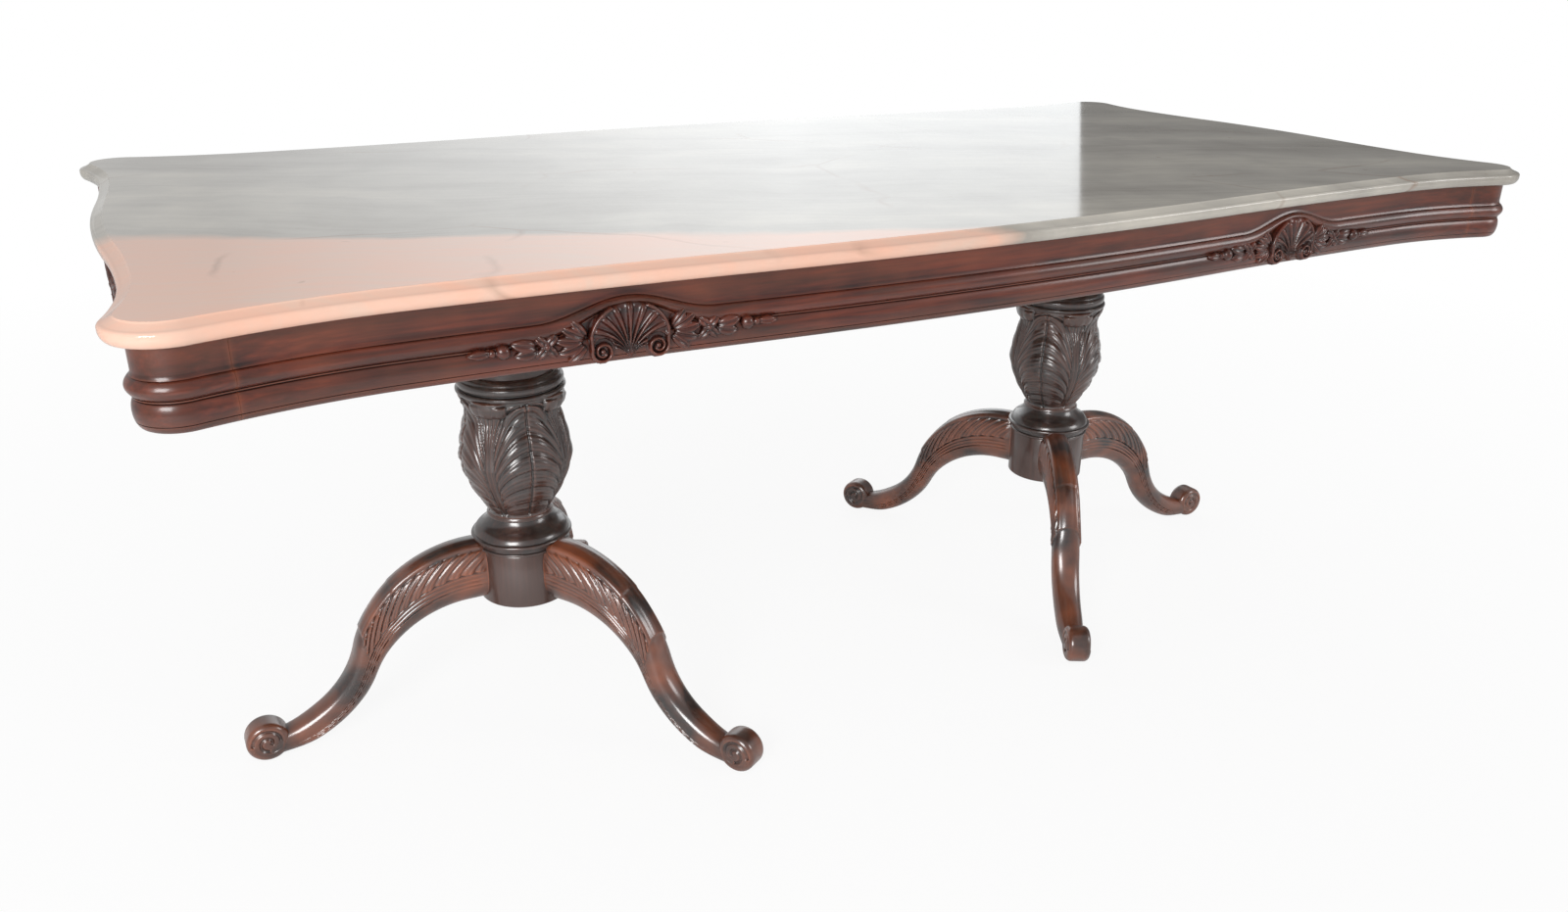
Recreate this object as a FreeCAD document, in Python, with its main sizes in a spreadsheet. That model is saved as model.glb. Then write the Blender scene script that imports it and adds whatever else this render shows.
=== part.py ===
# Double pedestal dining table: a loose marble slab on a moulded serpentine frame, carried by two
# columns of turned pieces on a tie rod, each with three scroll legs. Millimetres, +Z up, origin on
# the floor under the middle of the table, +X along its length.
import FreeCAD, Part
import Sketcher
import math
import os
import re
from FreeCAD import Placement, Rotation, Vector

# Driving dimensions: alias, value, what it measures
SIZES = [
    ("table_height", 770, "floor to the top of the slab"),
    ("top_length", 1965, "slab over its corner lobes, along X"),
    ("top_width", 1000, "slab over its corner lobes, along Y"),
    ("slab_thickness", 22, "marble slab"),
    ("corner_radius", 55, "plan radius of the slab's corner lobes"),
    ("long_dip_place", 730, "middle of the table to the deepest point of a long edge's dip"),
    ("long_dip_depth", 28, "dip of a long edge behind its corner lobes"),
    ("long_belly_drop", 3, "long edge's middle behind its corner lobes"),
    ("end_dip_place", 300, "middle of the table to the deepest point of an end's dip"),
    ("end_dip_depth", 21, "dip of an end behind its corner lobes"),
    ("end_belly_drop", 5, "end's middle behind its corner lobes"),
    ("edge_slope_width", 14, "plan width of the slab's sloped upper edge"),
    ("edge_slope_drop", 11, "top face down to the nose of the slab's edge"),
    ("edge_slope_bow", 1, "bow of the slab's sloped edge at its middle"),
    ("edge_under_inset", 5, "underside's outline behind the nose"),
    ("slab_overhang", 12, "nose of the slab past the frame's lower moulding"),
    ("slab_lift_pad", 2, "thickness of the pads under the slab"),
    ("pad_diameter", 22, "pads under the slab"),
    ("apron_height", 81, "moulded frame, top to bottom"),
    ("rail_thickness", 24, "rail behind its flat fascia"),
    ("fascia_height", 28, "flat band above the bead"),
    ("bead_height", 22, "middle bead of the moulding"),
    ("bead_reach", 10, "middle bead, out from the fascia"),
    ("hollow_height", 10, "hollow between the bead and the lower moulding"),
    ("hollow_reach", 2.5, "hollow, out from the fascia"),
    ("torus_reach", 11, "lower moulding, out from the fascia"),
    ("foot_reach", 5, "lower edges of the bead and the lower moulding, out from the fascia"),
    ("long_joint_place", 878, "middle of the table to the joints in the long sides"),
    ("end_joint_place", 395, "middle of the table to the joints in the ends"),
    ("rail_dowel_diameter", 10, "dowels across the frame's joints"),
    ("rail_dowel_length", 60, "dowels across the frame's joints"),
    ("bearer_width", 60, "cross bearers, along X"),
    ("bearer_height", 44, "cross bearers"),
    ("bearer_spread", 110, "column axis to a cross bearer beside it"),
    ("cleat_length", 36, "glue cleats along the rail"),
    ("cleat_depth", 40, "glue cleats along the bearer"),
    ("cleat_height", 38, "glue cleats, down from the top of the frame"),
    ("screw_diameter", 4.5, "wood screws"),
    ("screw_head_diameter", 9, "wood screws"),
    ("cleat_screw_length", 50, "screws through the cleats"),
    ("plate_screw_length", 55, "screws up through the top plates"),
    ("plate_length", 320, "top plate, along X"),
    ("plate_width", 300, "top plate, along Y"),
    ("plate_thickness", 25, "top plate"),
    ("plate_chamfer", 8, "top plate's lower edges"),
    ("column_place", 500, "middle of the table to a column's axis"),
    ("rod_diameter", 16, "tie rod"),
    ("rod_clearance", 0.5, "rod to the bores round it, on the radius"),
    ("nut_width", 24, "tie rod nuts across flats"),
    ("nut_height", 13, "tie rod nuts"),
    ("washer_diameter", 60, "tie rod washers"),
    ("washer_thickness", 4, "tie rod washers"),
    ("rod_end", 6, "tie rod past each nut"),
    ("hub_bottom", 180, "floor to the leg hub"),
    ("hub_height", 66, "leg hub"),
    ("hub_radius", 66, "leg hub"),
    ("ring_height", 61, "turned base ring on the hub"),
    ("ring_radius", 73, "base ring's flange"),
    ("ring_flange_level", 20, "top of the hub to the flange's widest line"),
    ("ring_cove_level", 28, "top of the hub to the base ring's cove"),
    ("ring_round", 3, "rounding of the base ring's flange"),
    ("ring_cove_radius", 61, "base ring halfway up its cove"),
    ("neck_radius", 46, "neck between the base ring and the vase"),
    ("neck_height", 5, "straight neck on each side of the vase's foot"),
    ("vase_height", 177, "carved vase"),
    ("vase_radius", 78.5, "carved vase at its belly"),
    ("vase_belly_level", 85, "foot of the vase to its belly"),
    ("vase_shoulder_radius", 69.5, "carved vase halfway up to its belly"),
    ("vase_bow", 2, "bow of the vase between its belly and its waist"),
    ("waist_radius", 67.5, "carved vase below its lip"),
    ("waist_level", 145, "foot of the vase to its waist"),
    ("lip_radius", 75, "overturned leaf tips at the top of the vase"),
    ("lip_height", 8, "straight lip at the top of the vase"),
    ("lip_hollow", 1.5, "hollow under the vase's lip"),
    ("collar_height", 38, "ringed collar on the vase"),
    ("collar_radius", 77, "ringed collar"),
    ("collar_ring_height", 15, "lower ring of the collar"),
    ("collar_ring_bow", 5, "bow of the collar's lower ring"),
    ("collar_groove_height", 4, "groove above the collar's lower ring"),
    ("collar_groove_depth", 8, "groove above the collar's lower ring"),
    ("head_radius", 62, "plain head of the column"),
    ("head_waist", 5, "draw of the plain head at its middle"),
    ("cap_radius", 95, "cap of the column under its top plate"),
    ("cap_rim", 15, "rim of the cap"),
    ("cap_flare_height", 31, "flare below the rim of the cap"),
    ("cap_flare_reach", 8, "flare halfway up, out from the plain head"),
    ("leg_root_top", 270, "leg's crest at the hub"),
    ("leg_root_bottom", 185, "leg's underside at the hub"),
    ("leg_crest_run", 14, "level crest, out from the hub"),
    ("leg_under_run", 24, "level underside, out from the hub"),
    ("leg_root_width", 50, "leg at the column's axis"),
    ("leg_ankle_width", 37, "leg at its scroll"),
    ("leg_rounding", 9, "rounding of the leg's long edges"),
    ("scroll_place", 388, "column axis to the middle of a scroll foot"),
    ("leg_crest_end", 35, "floor to the leg's crest where it ends in the scroll"),
    ("scroll_radius", 29, "scroll foot"),
    ("scroll_width", 38, "scroll foot, across the leg"),
    ("scroll_rounding", 9, "rounding of the scroll foot's rims"),
    ("scroll_flat", 1, "flat worn under the scroll foot, depth"),
    ("seat_gap", 0.15, "clearance of scribed and drilled fits"),
    ("leg_dowel_diameter", 12, "dowels between leg and hub"),
    ("leg_dowel_length", 60, "dowels between leg and hub"),
    ("leg_dowel_spacing", 36, "upper to lower dowel of a leg"),
    ("shell_width", 94, "carved shell with its volutes"),
    ("shell_height", 56, "carved shell"),
    ("shell_depth", 17, "carved shell, out from the fascia"),
    ("shell_foot_bow", 0.5, "rise of the foot of a shell at its middle"),
    ("shell_glue", 0.3, "glue line behind a shell"),
    ("spray_length", 120, "leaf spray beside a shell"),
    ("spray_height", 26, "leaf spray beside a shell"),
    ("spray_depth", 15, "leaf spray, out from the fascia"),
    ("spray_lift", 9, "foot of the rail to a leaf spray"),
    ("volute_radius", 13, "volutes at the foot of a shell"),
]
# Where along the leg's S its crest and its underside turn from bulging to hollow
CREST_TURN = 0.57
UNDER_TURN = 0.47
# Carved relief: flutes, how far their tips swell out, and how much the front is drawn in
SHELL_FLUTES = 9
SHELL_SWELL = 1.06
SHELL_FRONT = 0.8
LEAF_SWELL = 0.18
SPRAY_FRONT = 0.7
SPRAY_TIP = 0.2
SPRAY_RISE = 0.15
SPRAY_LOBES = (0, 0.4, 0.75, 1)
BODY_ROLES = {"flat": "XY_Plane", "front": "XZ_Plane", "side": "YZ_Plane"}
UP = Vector(0, 0, 1)

doc = FreeCAD.newDocument("double_pedestal_table")
sheet = doc.addObject("Spreadsheet::Sheet", "Sizes")
for row, (alias, value, note) in enumerate(SIZES, 1):
    sheet.set(f"A{row}", note)
    sheet.set(f"B{row}", str(value))
    sheet.setAlias(f"B{row}", alias)
doc.recompute()

subparts = []


def bound(text):
    """Turn sheet aliases in a formula into references to the sheet."""
    return re.sub(r"[a-z][a-z_]+", lambda word: "Sizes." + word.group(0), text)


def size(text):
    """Value of a formula of sheet aliases."""
    return float(sheet.evalExpression(bound(text)))


def keep(thing, label):
    """Name a finished sub-part and list it for export."""
    thing.Label = label
    subparts.append(thing)
    return thing


def fixed_shape(name, shape):
    """A document object that holds a shape worked out from the sheet."""
    thing = doc.addObject("Part::Feature", name)
    thing.Shape = shape
    return thing


def tie(thing, **formulas):
    """Bind an object's properties to formulas of sheet aliases."""
    for prop, text in formulas.items():
        thing.setExpression(prop.replace("__", "."), bound(text))
    return thing


def halfway(first, second):
    """Formula of the mean of two formulas."""
    return f"(({first}) + ({second})) / 2"


# Levels worked out from the driving dimensions
FRAME_TOP = "table_height - slab_thickness - slab_lift_pad"
BEARER_BOTTOM = f"{FRAME_TOP} - bearer_height"
PLATE_BOTTOM = f"{BEARER_BOTTOM} - plate_thickness"
HUB_TOP = "hub_bottom + hub_height"
RING_TOP = f"{HUB_TOP} + ring_height"
VASE_TOP = f"{RING_TOP} + vase_height"
COLLAR_TOP = f"{VASE_TOP} + collar_height"
BORE = "rod_diameter / 2 + rod_clearance"
FASCIA_INSET = size("slab_overhang + torus_reach")
RAIL_INSET = FASCIA_INSET + size("rail_thickness")
BEARER_PLACES = [
    "0 - column_place - bearer_spread",
    "bearer_spread - column_place",
    "0",
    "column_place - bearer_spread",
    "column_place + bearer_spread",
]


# Serpentine outline of the slab: arcs that meet tangentially, one quarter worked out here
class Side:
    """One side of the outline, in its own axes: along the side, and out from the middle."""

    def __init__(self, name, reach, half_run):
        self.lobe_radius = size("corner_radius")
        self.lobe = (half_run - self.lobe_radius, reach - self.lobe_radius)
        self.dip_place = size(f"{name}_dip_place")
        self.dip_level = reach - size(f"{name}_dip_depth")
        self.belly_level = reach - size(f"{name}_belly_drop")
        run = self.dip_place - self.lobe[0]
        rise = self.dip_level - self.lobe[1]
        slack = self.lobe_radius - rise
        self.outer_radius = (run**2 + rise**2 - self.lobe_radius**2) / (2 * slack)
        drop = self.belly_level - self.dip_level
        self.inner_radius = (self.dip_place**2 + drop**2) / (4 * drop)
        out = self.dip_level + self.outer_radius - self.lobe[1]
        self.lobe_turn = math.atan2(-run, out)
        self.belly_turn = math.asin(self.dip_place / (2 * self.inner_radius))
        joint_run = size(f"{name}_joint_place") - self.dip_place
        self.joint_turn = math.asin(joint_run / self.outer_radius)

    def level(self, along):
        """How far out the nose of the slab is, at a place along the side."""
        along = abs(along)
        if along < self.dip_place / 2:
            return self.belly_level - self.inner_radius + math.sqrt(self.inner_radius**2 - along**2)
        radius = self.inner_radius if along < self.dip_place else self.outer_radius
        return self.dip_level + radius - math.sqrt(radius**2 - (along - self.dip_place) ** 2)

    def slope(self, along):
        """How fast the nose runs out, at a place along the side."""
        return (self.level(along + 1) - self.level(along - 1)) / 2


class Bend:
    """One arc of the outline: centre, nose radius, whether it bulges, and its angles in plan."""

    def __init__(self, centre, radius, bulges, start, end):
        self.centre, self.radius, self.bulges = centre, radius, bulges
        self.start, self.end = start, end

    def at(self, inset):
        """Radius of the arc that runs inside the nose by an inset."""
        return self.radius - inset if self.bulges else self.radius + inset

    def point(self, inset, angle, level=0.0):
        radius = self.at(inset)
        x = self.centre[0] + radius * math.cos(angle)
        return Vector(x, self.centre[1] + radius * math.sin(angle), level)

    def edge(self, inset, level):
        middle = (self.start + self.end) / 2
        return Part.Arc(*(self.point(inset, a, level) for a in (self.start, middle, self.end))).toShape()

    def turned(self, quarter_turn):
        """The same arc on another side: axes along and out turned to the table's axes."""
        cos, sin = round(math.cos(quarter_turn)), round(math.sin(quarter_turn))
        x, y = self.centre
        centre = (x * cos - y * sin, x * sin + y * cos)
        return Bend(centre, self.radius, self.bulges, self.start + quarter_turn, self.end + quarter_turn)


LONG = Side("long", size("top_width / 2"), size("top_length / 2"))
END = Side("end", size("top_length / 2"), size("top_width / 2"))


def side_bends(side, from_turn, to_turn):
    """Arcs of a side from its right to its left, out along +Y, between two turns of its dips."""
    dip = (side.dip_place, side.dip_level + side.outer_radius)
    inner = (side.dip_place, side.dip_level + side.inner_radius)
    belly = (0.0, side.belly_level - side.inner_radius)
    down = -math.pi / 2
    out = math.pi / 2
    bends = [
        Bend(dip, side.outer_radius, False, down + from_turn, down),
        Bend(inner, side.inner_radius, False, down, down - side.belly_turn),
        Bend(belly, side.inner_radius, True, out - side.belly_turn, out + side.belly_turn),
        Bend((-inner[0], inner[1]), side.inner_radius, False, down + side.belly_turn, down),
        Bend((-dip[0], dip[1]), side.outer_radius, False, down, down - to_turn),
    ]
    return bends


def corner_bends(first, second, first_turn, second_turn):
    """Arcs round a corner, from the end of one side to the start of the next, out along +Y."""
    down = -math.pi / 2
    out = math.pi / 2
    first_dip = (-first.dip_place, first.dip_level + first.outer_radius)
    lobe = (-first.lobe[0], first.lobe[1])
    second_dip = (second.dip_place, second.dip_level + second.outer_radius)
    tail = Bend(second_dip, second.outer_radius, False, down + second.lobe_turn, down + second_turn)
    return [
        Bend(first_dip, first.outer_radius, False, down - first_turn, down - first.lobe_turn),
        Bend(lobe, first.lobe_radius, True, out - first.lobe_turn, math.pi + second.lobe_turn),
        tail.turned(math.pi / 2),
    ]


QUARTERS = [(LONG, END, 0.0), (END, LONG, 90.0), (LONG, END, 180.0), (END, LONG, 270.0)]


def outline(inset, level):
    """Closed wire of the whole serpentine outline, run inside the nose by an inset."""
    edges = []
    for side, following, turn in QUARTERS:
        angle = math.radians(turn)
        whole = side_bends(side, side.lobe_turn, side.lobe_turn)
        lobe = corner_bends(side, following, side.lobe_turn, following.lobe_turn)[1]
        edges += [bend.turned(angle).edge(inset, level) for bend in whole + [lobe]]
    return Part.Wire(edges)


# Marble slab
def make_slab():
    top = size("table_height")
    drop, width = size("edge_slope_drop"), size("edge_slope_width")
    rings = [
        outline(width, top),
        outline(width / 2, top - drop / 2 + size("edge_slope_bow")),
        outline(0, top - drop),
        outline(size("edge_under_inset"), top - size("slab_thickness")),
    ]
    slab = Part.makeLoft(rings, True, True)
    keep(fixed_shape("Slab", slab), "marble_top")


# Moulded frame
def moulding(bend):
    """Section of the frame in the plane of a bend's start: fascia, bead, hollow, lower moulding."""
    top = size(FRAME_TOP)
    bead_top = top - size("fascia_height")
    bead_bottom = bead_top - size("bead_height")
    hollow_bottom = bead_bottom - size("hollow_height")
    bottom = top - size("apron_height")
    bead, hollow, torus = size("bead_reach"), size("hollow_reach"), size("torus_reach")
    foot = size("foot_reach")
    inner = bend.radius if bend.bulges and bend.radius < RAIL_INSET else RAIL_INSET

    def spot(reach, level):
        return bend.point(FASCIA_INSET - reach, bend.start, level)

    def bow(low, high, reach):
        middle = spot(reach, (low[1] + high[1]) / 2)
        return Part.Arc(spot(*high), middle, spot(*low)).toShape()

    inner_top = bend.point(inner, bend.start, top)
    inner_bottom = bend.point(inner, bend.start, bottom)
    edges = [
        Part.makeLine(inner_top, spot(0, top)),
        Part.makeLine(spot(0, top), spot(0, bead_top)),
        bow((foot, bead_bottom), (0, bead_top), bead),
        Part.makeLine(spot(foot, bead_bottom), spot(hollow, bead_bottom)),
        Part.makeLine(spot(hollow, bead_bottom), spot(hollow, hollow_bottom)),
        bow((foot, bottom), (hollow, hollow_bottom), torus),
        Part.makeLine(spot(foot, bottom), inner_bottom),
        Part.makeLine(inner_bottom, inner_top),
    ]
    return Part.Face(Part.Wire(edges))


def run_of_moulding(bends):
    """One piece of the frame: its section turned about the centre of each bend, closed at both ends."""
    faces = [moulding(bends[0])]
    for bend in bends:
        centre = Vector(bend.centre[0], bend.centre[1], 0)
        swing = math.degrees(bend.end - bend.start)
        faces += moulding(bend).OuterWire.revolve(centre, UP, swing).Faces
    last = bends[-1]
    faces.append(moulding(Bend(last.centre, last.radius, last.bulges, last.end, last.end)))
    skin = Part.Shell(faces)
    skin.sewShape()
    solid = Part.Solid(skin)
    if solid.Volume < 0:
        solid.reverse()
    return solid


def joint_spots():
    """Middle and direction of each dowel across the joints between rails and corner blocks."""
    mid_inset = FASCIA_INSET + size("rail_thickness") / 2
    top, height = size(FRAME_TOP), size("apron_height")
    levels = (top - height / 4, top - 3 * height / 4)
    for side, _, turn in QUARTERS:
        bends = side_bends(side, side.joint_turn, side.joint_turn)
        for bend, angle in ((bends[0], bends[0].start), (bends[-1], bends[-1].end)):
            bend = bend.turned(math.radians(turn))
            angle += math.radians(turn)
            for level in levels:
                yield bend.point(mid_inset, angle, level), Vector(-math.sin(angle), math.cos(angle), 0)


def dowel_pegs(spare):
    """Rail dowels, or the holes for them with some clearance."""
    radius = size("rail_dowel_diameter") / 2 + spare
    length = size("rail_dowel_length") + 2 * spare
    return [
        Part.makeCylinder(radius, length, middle - along * (length / 2), along)
        for middle, along in joint_spots()
    ]


def make_frame():
    """Rails and corner blocks, drilled for their dowels, and the dowels."""
    holes = dowel_pegs(size("seat_gap"))
    rail_names = ("back_rail", "left_end_rail", "front_rail", "right_end_rail")
    block_names = ("back_left", "front_left", "front_right", "back_right")
    frame = {}
    for (side, following, turn), rail, block in zip(QUARTERS, rail_names, block_names):
        angle = math.radians(turn)
        side_run = side_bends(side, side.joint_turn, side.joint_turn)
        corner_run = corner_bends(side, following, side.joint_turn, following.joint_turn)
        for name, run in ((rail, side_run), (f"{block}_corner_block", corner_run)):
            frame[name] = run_of_moulding([bend.turned(angle) for bend in run]).cut(holes)
    keep(fixed_shape("RailDowels", Part.makeCompound(dowel_pegs(0))), "rail_dowels")
    return frame


# Wood screws: a countersunk head on a plain shank
def screw(point, along, length, spare=0.0):
    shank = size("screw_diameter") / 2 + spare
    head = size("screw_head_diameter") / 2 + spare
    sink = head - shank
    cone = Part.makeCone(head, shank, sink, point, along)
    return cone.fuse(Part.makeCylinder(shank, length + spare, point, along)).removeSplitter()


# Bearers across the frame, with a cleat at each end
def make_bearers(frame):
    bottom, height = size(BEARER_BOTTOM), size("bearer_height")
    width, gap = size("bearer_width"), size("seat_gap")
    cleat_long, cleat_deep = size("cleat_length"), size("cleat_depth")
    cleat_height = size("cleat_height")
    rails = [frame["front_rail"], frame["back_rail"]]
    names = ("left_outer", "left_inner", "middle", "right_inner", "right_outer")
    into_wood = FASCIA_INSET + size("rail_thickness") / 2
    cleats, screws, holes = [], [], []
    for place in BEARER_PLACES:
        centre = size(place)
        beside = centre + width / 2
        for facing in (-1, 1):
            reach = LONG.level(beside + cleat_long / 2) - into_wood
            rail_face = LONG.level(beside + cleat_long / 2) - RAIL_INSET
            low = min(facing * reach, facing * (rail_face - cleat_deep))
            block = Part.makeBox(cleat_long, reach - rail_face + cleat_deep, cleat_height)
            block.translate(Vector(beside, low, size(FRAME_TOP) - cleat_height))
            cleats.append(block.cut(rails))
            upper, lower = (size(FRAME_TOP) - cleat_height * part / 3 for part in (1, 2))
            into_rail = (Vector(beside + cleat_long / 2, facing * (rail_face - cleat_deep), upper),
                         Vector(0, facing, 0))
            into_bearer = (Vector(beside + cleat_long, facing * (rail_face - cleat_deep / 2), lower),
                           Vector(-1, 0, 0))
            for point, along in (into_rail, into_bearer):
                screws.append(screw(point, along, size("cleat_screw_length")))
                holes.append(screw(point, along, size("cleat_screw_length"), gap))
    plate_screws, plate_holes = make_plate_screws()
    for name, place in zip(names, BEARER_PLACES):
        centre = size(place)
        reach = LONG.level(centre) - into_wood
        board = Part.makeBox(width, 2 * reach, height)
        board.translate(Vector(centre - width / 2, -reach, bottom))
        board = board.cut(rails).cut(holes + plate_holes)
        keep(fixed_shape("Bearer_" + name, board), f"{name}_bearer")
    for name, solid in frame.items():
        keep(fixed_shape("Frame_" + name, solid.cut(holes)), name)
    drilled = Part.makeCompound([block.cut(holes) for block in cleats])
    keep(fixed_shape("Cleats", drilled), "bearer_cleats")
    keep(fixed_shape("CleatScrews", Part.makeCompound(screws)), "cleat_screws")
    for side, group in plate_screws.items():
        keep(fixed_shape("PlateScrews_" + side, Part.makeCompound(group)), f"{side}_plate_screws")


def plate_screw_spots(column_x):
    """Places of the screws that hold a top plate up to its two bearers."""
    spread = size("bearer_spread")
    row = size("plate_width") / 2 - size("bearer_width") / 2
    for beside in (-spread, spread):
        for along in (-row, -row / 3, row / 3, row):
            yield column_x + beside, along


def make_plate_screws():
    """Screws of both top plates by side, and the holes for all of them."""
    groups, holes = {}, []
    length = size("plate_screw_length")
    for side, sign in (("left", -1), ("right", 1)):
        groups[side] = []
        for x, y in plate_screw_spots(sign * size("column_place")):
            point = Vector(x, y, size(PLATE_BOTTOM))
            groups[side].append(screw(point, UP, length))
            holes.append(screw(point, UP, length, size("seat_gap")))
    return groups, holes


def make_pads():
    """Pads that the slab lies on: on the bearers and on the corner blocks."""
    reach = LONG.level(0) - RAIL_INSET - size("pad_diameter")
    spots = [(place, side) for place in BEARER_PLACES for side in (-reach, 0, reach)]
    pads = []
    for number, (place, across) in enumerate(spots):
        pad = doc.addObject("Part::Cylinder", f"Pad{number}")
        tie(pad, Radius="pad_diameter / 2", Height="slab_lift_pad")
        tie(pad, Placement__Base__x=place, Placement__Base__z=FRAME_TOP)
        pad.Placement.Base.y = across
        pads.append(pad)
    group = doc.addObject("Part::Compound", "TopPads")
    group.Links = pads
    keep(group, "top_pads")


# Sketches bound to the sheet
def origin_plane(body, view):
    return next(f for f in body.Origin.OriginFeatures if f.Role == BODY_ROLES[view])


def sketch_on(body, view, name, loops, lift=None, ahead=None):
    """Closed loops of (x, y) corners and (mid x, mid y, x, y) arcs, each number a formula."""
    sketch = body.newObject("Sketcher::SketchObject", name)
    sketch.AttachmentSupport = [(origin_plane(body, view), "")]
    sketch.MapMode = "FlatFace"
    sketch.AttachmentOffset = Placement(Vector(size(ahead or "0"), 0, size(lift or "0")), Rotation())
    if lift:
        tie(sketch, AttachmentOffset__Base__z=lift)
    if ahead:
        tie(sketch, AttachmentOffset__Base__x=ahead)
    for loop in loops:
        ends = [Vector(size(step[-2]), size(step[-1]), 0) for step in loop]
        first = sketch.GeometryCount
        for number, step in enumerate(loop):
            start, end = ends[number - 1], ends[number]
            if len(step) == 4:
                middle = Vector(size(step[0]), size(step[1]), 0)
                sketch.addGeometry(Part.Arc(start, middle, end))
            else:
                sketch.addGeometry(Part.LineSegment(start, end))
        count = len(loop)
        tips = [arc_tips(sketch, first + n, ends[n]) for n in range(count)]
        for number, step in enumerate(loop):
            edge = first + number
            following = (number + 1) % count
            tip = tips[number][1]
            joint = ("Coincident", edge, tip, first + following, tips[following][0])
            sketch.addConstraint(Sketcher.Constraint(*joint))
            pin_point(sketch, edge, tip, step[-2], step[-1])
            if len(step) == 4:
                spot = Part.Point(Vector(size(step[0]), size(step[1]), 0))
                dot = sketch.addGeometry(spot, True)
                sketch.addConstraint(Sketcher.Constraint("PointOnObject", dot, 1, edge))
                pin_point(sketch, dot, 1, step[0], step[1])
    return sketch


def arc_tips(sketch, edge, end):
    """Which end of an edge is its start and which its end, along the loop."""
    ends_second = (sketch.getPoint(edge, 2) - end).Length < (sketch.getPoint(edge, 1) - end).Length
    return (1, 2) if ends_second else (2, 1)


def pin_point(sketch, edge, tip, across, up):
    """Hold a point of a sketch at two formulas."""
    for kind, text in (("DistanceX", across), ("DistanceY", up)):
        axis = -2 if kind == "DistanceX" else -1
        if size(text) == 0:
            sketch.addConstraint(Sketcher.Constraint("PointOnObject", edge, tip, axis))
            continue
        index = sketch.addConstraint(Sketcher.Constraint(kind, -1, 1, edge, tip, size(text)))
        sketch.setExpression(f"Constraints[{index}]", bound(text))


def new_body(name, place=None, turn=None):
    body = doc.addObject("PartDesign::Body", name)
    if turn is not None:
        body.Placement = Placement(Vector(), Rotation(UP, turn))
    if place:
        tie(body, Placement__Base__x=place)
    return body


def turned_body(name, steps, place):
    """A piece turned on the lathe: a half section revolved about the column's axis."""
    body = new_body(name, place)
    section = sketch_on(body, "front", name + "Section", [steps])
    turning = body.newObject("PartDesign::Revolution", name + "Turning")
    turning.Profile = section
    turning.ReferenceAxis = (section, ["V_Axis"])
    turning.Angle = 360
    return body


# Turned pieces of a column, from the hub up
def make_column(side, place):
    name = side.capitalize()
    flange = f"{HUB_TOP} + ring_flange_level"
    cove = f"{HUB_TOP} + ring_cove_level"
    neck = f"{RING_TOP} - neck_height"
    flange_edge = "ring_radius - ring_round"
    ring_steps = [
        (BORE, HUB_TOP),
        ("hub_radius", HUB_TOP),
        (flange_edge, f"{HUB_TOP} + ring_flange_level / 2", "ring_radius", flange),
        (flange_edge, cove),
        ("ring_cove_radius", halfway(cove, neck), "neck_radius", neck),
        ("neck_radius", RING_TOP),
        (BORE, RING_TOP),
    ]
    keep(turned_body(name + "BaseRing", ring_steps, place), f"{side}_base_ring")
    foot = f"{RING_TOP} + neck_height"
    belly = f"{RING_TOP} + vase_belly_level"
    waist = f"{RING_TOP} + waist_level"
    lip = f"{VASE_TOP} - lip_height"
    above_belly = halfway("vase_radius", "waist_radius") + " + vase_bow"
    below_lip = halfway("waist_radius", "lip_radius") + " - lip_hollow"
    vase_steps = [
        (BORE, RING_TOP),
        ("neck_radius", RING_TOP),
        ("neck_radius", foot),
        ("vase_shoulder_radius", halfway(foot, belly), "vase_radius", belly),
        (above_belly, halfway(belly, waist), "waist_radius", waist),
        (below_lip, halfway(waist, lip), "lip_radius", lip),
        ("lip_radius", VASE_TOP),
        (BORE, VASE_TOP),
    ]
    keep(turned_body(name + "Vase", vase_steps, place), f"{side}_carved_vase")
    groove = f"{VASE_TOP} + collar_ring_height"
    groove_top = f"{groove} + collar_groove_height"
    ring_edge = "collar_radius - collar_ring_bow"
    groove_radius = "collar_radius - collar_groove_depth"
    collar_steps = [
        (BORE, VASE_TOP),
        (ring_edge, VASE_TOP),
        ("collar_radius", halfway(VASE_TOP, groove), ring_edge, groove),
        (groove_radius, groove),
        (groove_radius, groove_top),
        ("collar_radius", halfway(groove_top, COLLAR_TOP), groove_radius, COLLAR_TOP),
        (BORE, COLLAR_TOP),
    ]
    keep(turned_body(name + "Collar", collar_steps, place), f"{side}_collar")
    rim = f"{PLATE_BOTTOM} - cap_rim"
    flare = f"{rim} - cap_flare_height"
    head_steps = [
        (BORE, COLLAR_TOP),
        ("head_radius", COLLAR_TOP),
        ("head_radius - head_waist", halfway(COLLAR_TOP, flare), "head_radius", flare),
        ("head_radius + cap_flare_reach", halfway(flare, rim), "cap_radius", rim),
        ("cap_radius", PLATE_BOTTOM),
        (BORE, PLATE_BOTTOM),
    ]
    keep(turned_body(name + "Head", head_steps, place), f"{side}_column_head")


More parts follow.
